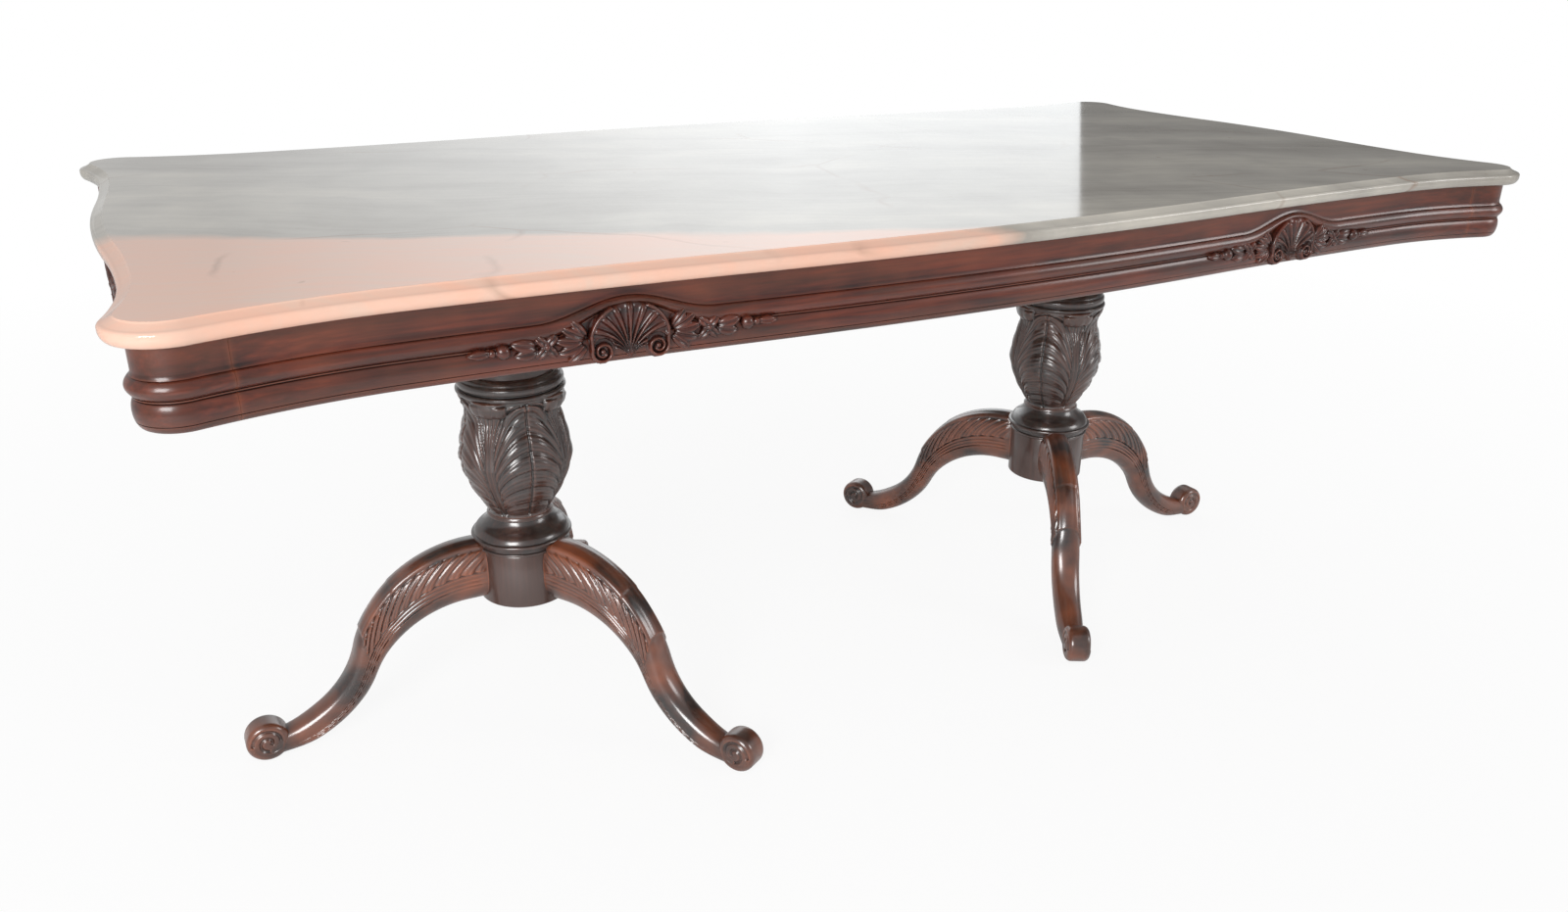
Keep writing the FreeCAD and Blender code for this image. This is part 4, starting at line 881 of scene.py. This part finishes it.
class TABLE_OT_shells(bpy.types.Operator):
    """Carved shells with their leaf sprays, laid on the rails"""

    bl_idname = "table.shells"
    bl_label = "Carved shells"

    def execute(self, context):
        apron, carving = sizes("table_apron"), sizes("table_carving")
        relief = carve_shell(carving)
        ground = -carving.bury
        solid = relief.out > ground
        near = solid.copy()
        for axis in (0, 1):
            for step in (-1, 1):
                near |= np.roll(near, step, axis=axis)
        rows, columns = relief.out.shape
        keep = near[:-1, :-1] & near[1:, :-1] & near[:-1, 1:] & near[1:, 1:]
        corner = np.arange(rows * columns).reshape(rows, columns)
        quads = [corner[:-1, :-1], corner[:-1, 1:], corner[1:, 1:], corner[1:, :-1]]
        used, quads = np.unique(np.stack(quads, axis=-1)[keep], return_inverse=True)
        front = quads.reshape(-1, 4)
        behind = front[:, ::-1] + len(used)
        known = {(quad[n], quad[(n + 1) % 4]) for quad in front.tolist() for n in range(4)}
        walls = [(a, b) for a, b in known if (b, a) not in known]
        faces = front.tolist() + behind.tolist()
        faces += [[b, a, a + len(used), b + len(used)] for a, b in walls]
        along, level, out = (grid.ravel()[used] for grid in (relief.along, relief.up, relief.out))
        runs = serpentine()
        for name, (rail, axis, value) in SHELLS.items():
            run = runs[rail]
            place, normal = run.at(run.where(axis, value) + along)
            layers = []
            for reach in (out, np.full_like(out, ground - 1 * MM)):
                flat = place + normal * (reach - carving.set_back - apron.fascia_inset)[:, None]
                layers.append(np.column_stack([flat, APRON_FOOT + level]))
            wood = mahogany(grain_turn(name), wear=0.25)
            piece = new_piece(name + "_carving", np.concatenate(layers), faces, wood)
            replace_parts(piece, name)
        return {"FINISHED"}


# Turned pieces and carved vases
def half_section(*steps):
    """Half section of a turned piece from millimetres: points, and arcs given by a middle, an end and
    a count."""
    profile = [steps[0]]
    for step in steps[1:]:
        profile += [*arc_through(profile[-1], *step)] if len(step) == 3 else [step]
    return np.array(profile) * MM


def turning(name, profile, column_x, material, node, segments=128):
    """A piece turned about a column's axis, from its lower face up to its upper one."""
    angles = np.linspace(0, 2 * math.pi, segments, endpoint=False)
    circle = np.stack([np.cos(angles), np.sin(angles), 0 * angles], axis=-1)
    rows = [radius * circle + (column_x, 0, level) for radius, level in profile]
    faces = tube_faces(len(rows), segments)
    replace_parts(new_piece(name, np.concatenate(rows), faces, material, sharp=35), node)


def vase_profile(column):
    """Half section of the vase before it is carved, as levels over its foot and radii."""
    foot, top = 0.0, VASE_HIGH.z - VASE_LOW.z + column.tip_rise
    neck = 5 * MM
    belly = ((VASE_HIGH.x - VASE_LOW.x) / 2 + column.belly_swell, column.belly_level)
    waist = (column.waist_radius, column.waist_level)
    lip = (column.lip_radius, top - column.lip_height)
    shoulder = (column.shoulder_radius, (neck + belly[1]) / 2)
    above = ((belly[0] + waist[0]) / 2 + 2 * MM, (belly[1] + waist[1]) / 2)
    below_lip = ((waist[0] + lip[0]) / 2 - 1 * MM, (waist[1] + lip[1]) / 2)
    spots = [np.array([[column.neck_radius, foot], [column.neck_radius, neck]])]
    spots.append(arc_through((column.neck_radius, neck), shoulder, belly, 24))
    spots.append(arc_through(belly, above, waist, 16))
    spots.append(arc_through(waist, below_lip, lip, 10))
    spots.append(np.array([[column.lip_radius, top]]))
    radii, levels = np.concatenate(spots).T
    return levels, radii


def carve_leaf(column):
    """Points of one leaf's share of the vase: rows up, columns across, about the axis."""
    levels, radii = vase_profile(column)
    top = levels[-1]
    rows, columns = 181, 105
    up = np.linspace(0, 1, rows)[:, None]
    across = np.linspace(-1, 1, columns)[None, :]
    base = np.interp(up * top, levels, radii) + 0 * across
    half_angle = math.pi / column.leaves
    side = np.abs(across) + 0 * up
    flank = side * half_angle * base
    # Outline of the leaf, its arched lobes with fine veins, and the cut along its midrib
    taper = np.clip((up - 0.5) / 0.47, 0, 1) ** 3
    margin = column.leaf_width * np.sqrt(np.clip(1 - taper, 0.0004, 1))
    within = smooth_step(margin - side, -0.015, 0.015)
    arch = up / np.sqrt(1 - np.clip(side / column.arch_width, 0, 0.95) ** 2)
    saw = (column.lobes * arch) % 1.0
    lobe = np.sin(np.pi * saw**0.75) ** 0.65
    vein = np.abs(np.sin(3.5 * np.pi * saw)) ** 0.6
    crown = np.sin(np.pi * np.clip(side / margin, 0, 1)) ** 0.7
    leaf = column.lobe_depth * (1 - lobe) + column.vein_depth * (1 - vein) + 1.4 * MM * (1 - crown)
    leaf = leaf + column.rib_groove * hump(flank, 1.6 * MM)
    # Stems and leaf tip behind the leaf
    behind = np.clip((1 - side) / (1 - margin + 1e-6), 0, 1)
    stems = np.abs(np.sin(np.pi * (0.5 + 2.5 * behind))) ** 0.7
    stem = column.leaf_step + 2.2 * MM * (1 - stems)
    groove = 1.8 * MM * hump(side - margin, 0.03)
    cut = (leaf * within + stem * (1 - within) + groove) * smooth_step(up, 0.0, 0.04)
    radius = base - cut
    # Overturned tips, the knop on each midrib, and the lip between the tips
    tips = dome((1 - side) / column.tip_width)
    fringe = np.abs(np.sin(1.5 * np.pi * (1 + (1 - side) / column.tip_width)))
    droop = 0.965 - 0.035 * tips - 0.008 * fringe
    curl = dome(np.clip(droop - up, 0, 1) / 0.06)
    rolled = (column.tip_curl + column.leaf_step) * tips**0.5 * curl * (0.9 + 0.1 * fringe)
    rolled = base - column.leaf_step + rolled
    radius = np.where(curl * tips > 0, np.maximum(radius, rolled), radius)
    radius = radius + column.knop_swell * hump(across, 0.07) * hump(up - 0.93, 0.026)
    flush = smooth_step(up, 0.965, 0.985) * (1 - tips)
    radius = radius * (1 - flush) + (column.lip_radius - 3 * MM) * flush
    around, level = across * half_angle + 0 * up, VASE_LOW.z + up * top + 0 * across
    return np.stack([radius * np.cos(around), radius * np.sin(around), level], axis=-1)


def leaf_ring_tree():
    """Geometry nodes: copies of a leaf, set round the column's axis and welded into one vase."""
    tree = bpy.data.node_groups.new("leaf_ring", "GeometryNodeTree")
    for name, kind in (("Leaf", "NodeSocketGeometry"), ("Leaves", "NodeSocketInt"),
                       ("Turn", "NodeSocketFloat"), ("Column", "NodeSocketVector"),
                       ("Wood", "NodeSocketMaterial")):
        tree.interface.new_socket(name, in_out="INPUT", socket_type=kind)
    tree.interface.new_socket("Vase", in_out="OUTPUT", socket_type="NodeSocketGeometry")
    given = add(tree, "NodeGroupInput").outputs
    number = add(tree, "GeometryNodeInputIndex")
    step = add(tree, "Math", {0: 2 * math.pi, 1: given["Leaves"]}, operation="DIVIDE")
    turn = {0: number, 1: step, 2: given["Turn"]}
    turn = add(tree, "Math", turn, operation="MULTIPLY_ADD")
    spin = add(tree, "CombineXYZ", {"Z": turn})
    spots = add(tree, "GeometryNodePoints", {"Count": given["Leaves"], "Position": given["Column"]})
    ring = add(tree, "GeometryNodeInstanceOnPoints", {
        "Points": spots, "Instance": given["Leaf"], "Rotation": spin})
    whole = add(tree, "GeometryNodeRealizeInstances", {"Geometry": ring})
    welded = add(tree, "GeometryNodeMergeByDistance", {"Geometry": whole, "Distance": 0.02 * MM})
    dressed = add(tree, "GeometryNodeSetMaterial", {"Geometry": welded, "Material": given["Wood"]})
    add(tree, "NodeGroupOutput", {"Vase": dressed})
    return tree


def with_nodes(name, mesh, tree, values):
    """Mesh of an object run through a node tree, with the tree's inputs set by their names."""
    maker = put(name, mesh)
    modifier = maker.modifiers.new(name, "NODES")
    modifier.node_group = tree
    for item in tree.interface.items_tree:
        if item.item_type == "SOCKET" and item.in_out == "INPUT" and item.name in values:
            modifier[item.identifier] = values[item.name]
    ready = maker.evaluated_get(bpy.context.evaluated_depsgraph_get())
    made = bpy.data.meshes.new_from_object(ready)
    maker.modifiers.remove(modifier)
    bpy.data.objects.remove(maker)
    return made


class TABLE_OT_columns(bpy.types.Operator):
    """Carved vases and the turned pieces above and below them"""

    bl_idname = "table.columns"
    bl_label = "Columns"

    def execute(self, context):
        column = sizes("table_column")
        wood = mahogany(upright=True, wear=0.5, deep=True)
        plain = mahogany(upright=True, wear=0.2, deep=True)
        points = carve_leaf(column)
        rows, columns = points.shape[:2]
        ends = [(0, 0, VASE_LOW.z), (0, 0, VASE_HIGH.z + column.tip_rise)]
        spots = points.reshape(-1, 3).tolist() + ends
        faces = grid_faces(rows, columns, closed=False)
        for row, centre in ((0, rows * columns), (rows - 1, rows * columns + 1)):
            faces += [[row * columns + n, row * columns + n + 1, centre] for n in range(columns - 1)]
        leaf = bpy.data.meshes.new("vase_leaf")
        leaf.from_pydata(spots, [], faces)
        tree = leaf_ring_tree()
        for side, x in COLUMNS.items():
            turn = column.right_turn if side == "right" else 0.0
            values = {"Leaves": column.leaves, "Turn": turn, "Column": (x, 0.0, 0.0), "Wood": wood}
            mesh = with_nodes(f"{side}_leaf_ring", leaf.copy(), tree, values)
            mesh.shade_smooth()
            face_outwards(mesh)
            vase = put(f"{side}_vase_carving", mesh)
            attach(vase, FRAME_BODY)
            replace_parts(vase, f"{side}_carved_vase")
            self.turn_rings(side, x, column, plain)
        return {"FINISHED"}

    def turn_rings(self, side, x, column, wood):
        """Hub, base ring, collar and head of a column."""
        hub, recess, neck, head = (size / MM for size in (
            HUB_RADIUS, column.hub_recess, column.neck_radius, column.head_radius))
        flange, ring, cap = ((high.x - low.x) / 2 / MM for low, high in (
            (RING_LOW, RING_HIGH), (COLLAR_LOW, COLLAR_HIGH), (HEAD_LOW, HEAD_HIGH)))
        seat, low, high = (level / MM for level in (
            HUB_LOW.z, HUB_LOW.z - column.hub_skirt, HUB_HIGH.z + column.hub_raise))
        profile = half_section(
            (recess, seat), (recess, low), (hub - 4.5, low), (hub - 1.5, low + 0.6),
            (hub, low + 2.1), (hub, high - 1.5), (hub - 0.9, high))
        turning(f"{side}_hub_turning", profile, x, wood, f"{side}_leg_hub")
        low, high = high, RING_HIGH.z / MM
        profile = half_section(
            (hub - 1.5, low), (hub + 0.5, low + 0.4),
            ((hub + 3, low + 2.8), (hub + 0.8, low + 5.2), 8),
            (hub + 0.8, low + 6), (flange - 4, high - 39.5),
            ((flange, high - 36.5), (flange - 1.5, high - 33.5), 10),
            (flange - 4, high - 33), (flange - 4, high - 32),
            ((flange - 7, high - 26), (neck + 15, high - 21), 10),
            ((neck + 5, high - 13), (neck + 1, high - 6), 12),
            (neck + 2, high - 5), (neck + 2, high - 3), (neck, high))
        turning(f"{side}_base_turning", profile, x, wood, f"{side}_base_ring")
        low, high = (COLLAR_LOW.z + column.tip_rise) / MM, COLLAR_HIGH.z / MM
        profile = half_section(
            (ring - 6, low), (ring - 3, low + 0.4), ((ring, low + 4), (ring - 2, low + 8), 12),
            (ring - 4.5, low + 8.4), (ring - 4.5, low + 9.6), (ring - 3.5, low + 10),
            ((ring - 2, low + 15), (ring - 5, low + 22), 12),
            ((ring - 6.5, high - 4), (ring - 10, high), 6))
        turning(f"{side}_collar_turning", profile, x, wood, f"{side}_collar")
        low, high = HEAD_LOW.z / MM, HEAD_HIGH.z / MM
        rim, flare = high - 15, high - 46
        profile = half_section(
            (head, low), ((head - 5, (low + flare) / 2), (head, flare), 18),
            ((head + 8, (flare + rim) / 2), (cap - 1.5, rim), 14),
            (cap, rim + 1.5), (cap, high - 1.5), (cap - 1.5, high))
        turning(f"{side}_head_turning", profile, x, wood, f"{side}_column_head")


# Scroll legs
def s_path(start, end, turn, steps):
    """Points of two arcs that leave one point level, meet on the line to another, arrive level."""
    near, far = np.array(start), np.array(end)
    run = far - near
    bow = math.tan(math.atan2(abs(run[1]), abs(run[0])) / 2)
    pace = np.array([math.copysign(1, run[0]), math.copysign(bow, run[1])]) * np.hypot(*run) / 2
    knee = near + run * turn
    first = arc_through(near, near + pace * turn, knee, steps)
    second = arc_through(knee, far - pace * (1 - turn), far, steps)
    return np.concatenate([[near], first, second])


def spaced(path, stations):
    """A path's points at even shares of its length."""
    along = distances(path)
    return between(np.linspace(0, 1, stations) * along[-1], along, path), along[-1]


def even_turns(number, wide, tall, power):
    """Turns round a section with rounded flats that space its points evenly."""
    turn = np.linspace(0, 2 * math.pi, 8001)
    outline = [wide * signed_power(np.cos(turn), power), tall * signed_power(np.sin(turn), power)]
    run = distances(np.stack(outline, axis=-1))
    return np.interp(np.linspace(0, run[-1], number, endpoint=False), run, turn)


def carve_leg(leg):
    """Points and faces of a leg in its own axes, from inside the hub to the scroll's middle."""
    root = HUB_RADIUS - 5 * MM
    knee, toe = (HUB_RADIUS + leg.crest_run, leg.root_top), (leg.scroll_place, leg.crest_end)
    crest = s_path(knee, toe, leg.crest_turn, 60)
    heel, hollow = (leg.scroll_place, leg.scroll_flat), (HUB_RADIUS + leg.under_run, leg.root_bottom)
    under = s_path(heel, hollow, 1 - leg.under_turn, 60)
    stations, ring = 324, 184
    crest, run = spaced(np.concatenate([[(root, leg.root_top)], crest]), stations)
    under, _ = spaced(np.concatenate([[(root, leg.root_bottom)], under[::-1]]), stations)
    middle, half = (crest + under) / 2, (crest - under) / 2
    tall = np.hypot(*half.T)[:, None]
    along = np.linspace(0, 1, stations)[:, None]
    unit = half / tall
    swell = leg.ankle_swell * smooth_step(along, 0.42, 0.6) * (1 - smooth_step(along, 0.82, 0.96))
    tall = tall + swell
    wide = (leg.root_width + (leg.ankle_width - leg.root_width) * along) / 2 + 0.5 * swell
    turn = even_turns(ring, wide.mean(), tall.mean(), 0.75)[None, :]
    cos, sin = np.cos(turn), np.sin(turn)
    power = 2 / (2.9 - 0.6 * along)
    across, up = signed_power(cos, power), signed_power(sin, power)
    lean_y, lean_z = signed_power(cos, 2 - power) / wide, signed_power(sin, 2 - power) / tall
    size = np.hypot(lean_y, lean_z)
    lean_y, lean_z = lean_y / size, lean_z / size
    lift = leg_carving(leg, along, up, run)
    points = np.empty((stations, ring, 3))
    reach = (up * tall + lean_z * lift)[..., None] * unit[:, None, :]
    points[..., 0] = middle[:, None, 0] + reach[..., 0]
    points[..., 1] = across * wide + lean_y * lift
    points[..., 2] = middle[:, None, 1] + reach[..., 1]
    return points.reshape(-1, 3), tube_faces(stations, ring)


def leg_carving(leg, along, up, run):
    """How far the carving stands out from the plain leg, or goes in."""
    distance = along * run
    # Knee leaf of slanting lobes, under a plain band that steps along the crest
    rise = np.clip((up - leg.leaf_border) / (leg.band_border - leg.leaf_border), 0, 1)
    saw = ((distance + leg.leaf_sweep * rise**1.4) / leg.leaf_pitch) % 1.0
    lobe = np.sin(np.pi * saw**0.8) ** 0.7
    vein = hump(saw - 0.5, 0.1)
    inside = smooth_step(up - leg.leaf_border + 0.07 * lobe, -0.03, 0.04)
    end = leg.leaf_end - 0.016 * (1 - lobe)
    inside = inside * (1 - smooth_step(along, end - 0.004, end + 0.004))
    inside = inside * smooth_step(along, 0.0, 0.03)
    band = smooth_step(up, leg.band_border - 0.04, leg.band_border + 0.04)
    lines = sum(hump(up - leg.band_border - above, 0.045) for above in (0.0, 0.19))
    steps = (distance / leg.step_pitch) % 1.0
    steps = steps**3 * (1 - smooth_step(steps, 0.96, 1.0))
    leaf = (1 - band) * leg.leaf_cut * (1 - lobe + 0.3 * vein) + leg.line_cut * lines
    lift = inside * (leg.leaf_raise - leaf + band * leg.step_rise * steps)
    # Long reeds under the knee leaf, one fewer past its end
    fall = leg.leaf_border - 0.07 - 0.32 * smooth_step(along, 0.35, 0.95)
    reeds = 3 - smooth_step(along, leg.leaf_end, leg.leaf_end + 0.12)
    place = (fall - up) / leg.groove_pitch
    cut = 1 - np.abs(np.sin(np.pi * np.clip(place, 0, 3))) ** 0.6
    within = smooth_step(place, -0.2, 0.0) * (1 - smooth_step(place, reeds, reeds + 0.2))
    fade = smooth_step(along, 0.0, 0.04) * (1 - smooth_step(along, 0.82, 0.95))
    return lift - leg.groove_depth * cut * within * fade


def carve_scroll(leg):
    """Points and faces of a scroll foot: a rounded drum about its axis across the leg, with a volute
    cut into each face."""
    radius, half, soft = leg.scroll_radius, leg.scroll_width / 2, leg.scroll_rounding
    turns = 120
    angles = np.linspace(0, 2 * math.pi, turns, endpoint=False)
    rows = [(out, half - volute(leg, out, angles)) for out in np.linspace(0.6 * MM, radius - soft, 40)]
    for turn in np.linspace(0, math.pi / 2, 12)[1:]:
        out, across = radius - soft + soft * math.sin(turn), half - soft + soft * math.cos(turn)
        rows.append((out, across - volute(leg, out, angles) * math.cos(turn)))
    rows += [(out, -across) for out, across in rows[::-1]]
    cos, sin = np.cos(angles), np.sin(angles)
    points = np.concatenate([np.column_stack([out * cos, across, out * sin]) for out, across in rows])
    points = points + (leg.scroll_place, 0, radius - leg.scroll_flat)
    points[:, 2] = np.maximum(points[:, 2], 0)
    return points, tube_faces(len(rows), turns)


def volute(leg, out, angles):
    """Depth of the volute's cut at a distance from the scroll's axis."""
    gap = np.full_like(angles, 1.0)
    for turn in range(math.ceil(leg.volute_turns)):
        done = angles / (2 * math.pi) + turn
        spiral = leg.volute_start - leg.volute_pace * done
        gap = np.minimum(gap, np.where(done < leg.volute_turns, np.abs(out - spiral), 1.0))
    return leg.volute_depth * hump(gap, leg.volute_width)


class TABLE_OT_legs(bpy.types.Operator):
    """Six carved scroll legs"""

    bl_idname = "table.legs"
    bl_label = "Scroll legs"

    def execute(self, context):
        leg = sizes("table_leg")
        points, faces = carve_leg(leg)
        scroll_points, scroll_faces = carve_scroll(leg)
        faces = faces + [[corner + len(points) for corner in face] for face in scroll_faces]
        points = np.concatenate([points, scroll_points])
        for side, x in COLUMNS.items():
            for name, degrees in LEGS[side].items():
                turn = math.radians(degrees)
                spin = np.array(Matrix.Rotation(turn, 3, "Z"))
                placed = points @ spin.T + (x, 0, 0)
                wood = mahogany(turn % math.pi, wear=0.95, deep=True)
                piece = new_piece(f"{side}_{name}_leg_carving", placed, faces, wood, sharp=55)
                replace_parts(piece, f"{side}_{name}_leg")
        return {"FINISHED"}


class TABLE_OT_carcass(bpy.types.Operator):
    """Finishes of the pieces that stay as CAD made them"""

    bl_idname = "table.carcass"
    bl_label = "Carcass and hardware"

    def execute(self, context):
        wood = plain_finish("carcass_wood", "carcass", (30, 300, 8), 0.65)
        steel = plain_finish("drawn_steel", "steel", (2, 2, 40), 0.38, 1.0)
        brass = plain_finish("turned_brass", "brass", (4, 4, 4), 0.35, 1.0)
        rubber = plain_finish("dull_rubber", "rubber", (2, 2, 2), 0.8)
        kinds = (("bearer", wood), ("cleats", wood), ("dowels", wood), ("top_plate", wood),
                 ("screws", brass), ("tie_rod", steel), ("rod_nuts", steel), ("top_pads", rubber))
        for name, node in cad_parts.items():
            for kind, material in kinds:
                if kind in name:
                    node.data.materials.clear()
                    node.data.materials.append(material)
        return {"FINISHED"}


# Stage
FOCAL_PIXELS = 1253.0
IMAGE_WIDTH = 1600
SENSOR_WIDTH = 36.0
CAMERA_PLACE = Vector((-0.9540, -1.6228, 1.0680))
CAMERA_YAW = math.radians(28.922)
CAMERA_PITCH = math.radians(22.421)
CAMERA_ROLL = math.radians(0.703)
# Level direction of the surroundings' darker side
DARK_SIDE = (math.sin(math.radians(66)), math.cos(math.radians(66)), 0.0)
WHITE = (1.0, 1.0, 1.0)
FLOOR_REACH = 14.0
# Soft boxes: place, the point they face, width and height, watts and tint
LAMPS = {
    "key_lamp": ((-2.6, -2.5, 1.8), (0, 0, 0.5), (1.4, 1.4), 80, WHITE),
    "fill_lamp": ((2.8, -2.4, 1.8), (0.3, 0, 0.5), (1.2, 1.2), 24, WHITE),
    "back_panel": ((0.83, 2.75, 1.3), (0.83, 0, 0.9), (4.32, 1.6), 29, (0.95, 0.98, 1.0)),
}


def lamp(name, place, target, size, watts, tint):
    """A soft box that faces a point."""
    data = bpy.data.lights.new(name, "AREA")
    data.shape, data.size, data.size_y = "RECTANGLE", *size
    data.energy, data.color = watts, tint
    made = put(name, data)
    made.location = place
    made.rotation_euler = (Vector(target) - Vector(place)).to_track_quat("-Z", "Y").to_euler()
    made.visible_camera = False
    return made


class TABLE_OT_stage(bpy.types.Operator):
    """Pale floor, white surroundings, soft lamps and the camera"""

    bl_idname = "table.stage"
    bl_label = "Stage"

    def execute(self, context):
        scene = context.scene
        scene.view_settings.view_transform = "Standard"
        self.floor()
        self.surroundings(scene)
        lamps = {name: lamp(name, *settings) for name, settings in LAMPS.items()}
        self.shade_panel(lamps["back_panel"].data)
        data = bpy.data.cameras.new("camera")
        data.sensor_width = SENSOR_WIDTH
        data.lens = SENSOR_WIDTH * FOCAL_PIXELS / IMAGE_WIDTH
        camera = put("camera", data)
        camera.matrix_world = self.camera_matrix()
        scene.camera = camera
        return {"FINISHED"}

    def shade_panel(self, data):
        """Dims the panel behind the table towards its left end."""
        data.use_nodes = True
        tree = data.node_tree
        spot = add(tree, "NewGeometry").outputs["Parametric"]
        across = add(tree, "SeparateXYZ", {0: spot})
        glow = next(node for node in tree.nodes if node.type == "EMISSION")
        level = add(tree, "MapRange", {
            "Value": across, "From Min": 0.35, "From Max": 0.85, "To Min": 1.0, "To Max": 0.12})
        fill(tree, glow, {"Strength": level})

    def camera_matrix(self):
        """Camera's place and axes from its yaw, pitch and roll."""
        forward = Vector((
            math.sin(CAMERA_YAW) * math.cos(CAMERA_PITCH),
            math.cos(CAMERA_YAW) * math.cos(CAMERA_PITCH),
            -math.sin(CAMERA_PITCH),
        ))
        level = Vector((math.cos(CAMERA_YAW), -math.sin(CAMERA_YAW), 0))
        rise = level.cross(forward)
        right = math.cos(CAMERA_ROLL) * level + math.sin(CAMERA_ROLL) * rise
        up = math.cos(CAMERA_ROLL) * rise - math.sin(CAMERA_ROLL) * level
        turned_axes = Matrix((right, up, -forward)).transposed().to_4x4()
        return Matrix.Translation(CAMERA_PLACE) @ turned_axes

    def floor(self):
        """Floor that keeps the table's shadow near it and pales to white further out."""
        mesh = bpy.data.meshes.new("floor")
        spots = [(x * FLOOR_REACH, y * FLOOR_REACH, 0) for x, y in ((-1, -1), (1, -1), (1, 1), (-1, 1))]
        mesh.from_pydata(spots, [], [(0, 1, 2, 3)])
        floor = put("floor", mesh)
        made, tree, shader = new_material("pale_floor")
        fill(tree, shader, {"Base Color": linear("#f4f4f4"), "Roughness": 0.8})
        glow = add(tree, "Emission", {"Color": (*WHITE, 1.0), "Strength": 1.0})
        seen = add(tree, "LightPath").outputs["Is Camera Ray"]
        place = add(tree, "TexCoord").outputs["Object"]
        far = add(tree, "VectorMath", {0: place}, operation="LENGTH")
        paled = add(tree, "MapRange", {
            "Value": far, "From Min": 0.9, "From Max": 3.2, "To Min": 0.90, "To Max": 1.0})
        paled = add(tree, "Math", {0: seen, 1: paled}, operation="MULTIPLY")
        blend = add(tree, "MixShader", {0: paled, 1: shader, 2: glow})
        output = next(node for node in tree.nodes if node.type == "OUTPUT_MATERIAL")
        fill(tree, output, {"Surface": blend})
        mesh.materials.append(made)

    def surroundings(self, scene):
        """White to the camera; to the table, a plain light with one darker side."""
        world = bpy.data.worlds.new("white_surroundings")
        scene.world = world
        world.use_nodes = True
        tree = world.node_tree
        tree.nodes.clear()
        seen = add(tree, "LightPath").outputs["Is Camera Ray"]
        way = add(tree, "TexCoord").outputs["Generated"]
        facing = add(tree, "VectorMath", {0: way, 1: DARK_SIDE}, operation="DOT_PRODUCT")
        level = add(tree, "MapRange", {
            "Value": facing, "From Min": 0.72, "From Max": 0.88, "To Min": 0.50, "To Max": 0.17})
        light = add(tree, "Background", {"Color": (*WHITE, 1.0), "Strength": level})
        white = add(tree, "Background", {"Color": (*WHITE, 1.0), "Strength": 1.0})
        blend = add(tree, "MixShader", {0: seen, 1: light, 2: white})
        add(tree, "OutputWorld", {"Surface": blend})


OPERATORS = (TABLE_OT_slab, TABLE_OT_apron, TABLE_OT_shells, TABLE_OT_columns, TABLE_OT_legs,
             TABLE_OT_carcass, TABLE_OT_stage)


class TABLE_PT_pieces(bpy.types.Panel):
    """Lists the table's pieces"""

    bl_idname = "TABLE_PT_pieces"
    bl_label = "Double pedestal table"
    bl_space_type = "VIEW_3D"
    bl_region_type = "UI"
    bl_category = "Table"

    def draw(self, context):
        for operator in OPERATORS:
            self.layout.operator(operator.bl_idname)
        for group in GROUPS:
            box = self.layout.box()
            for name in GROUPS[group].__annotations__:
                box.prop(getattr(context.scene, group), name)


def register():
    for kind in (*GROUPS.values(), *OPERATORS, TABLE_PT_pieces):
        bpy.utils.register_class(kind)
    for name, kind in GROUPS.items():
        setattr(bpy.types.Scene, name, bpy.props.PointerProperty(type=kind))


def unregister():
    for name in GROUPS:
        delattr(bpy.types.Scene, name)
    for kind in reversed((*GROUPS.values(), *OPERATORS, TABLE_PT_pieces)):
        bpy.utils.unregister_class(kind)


def main():
    register()
    for operator in OPERATORS:
        group, name = operator.bl_idname.split(".")
        getattr(getattr(bpy.ops, group), name)()


if __name__ == "__main__":
    main()
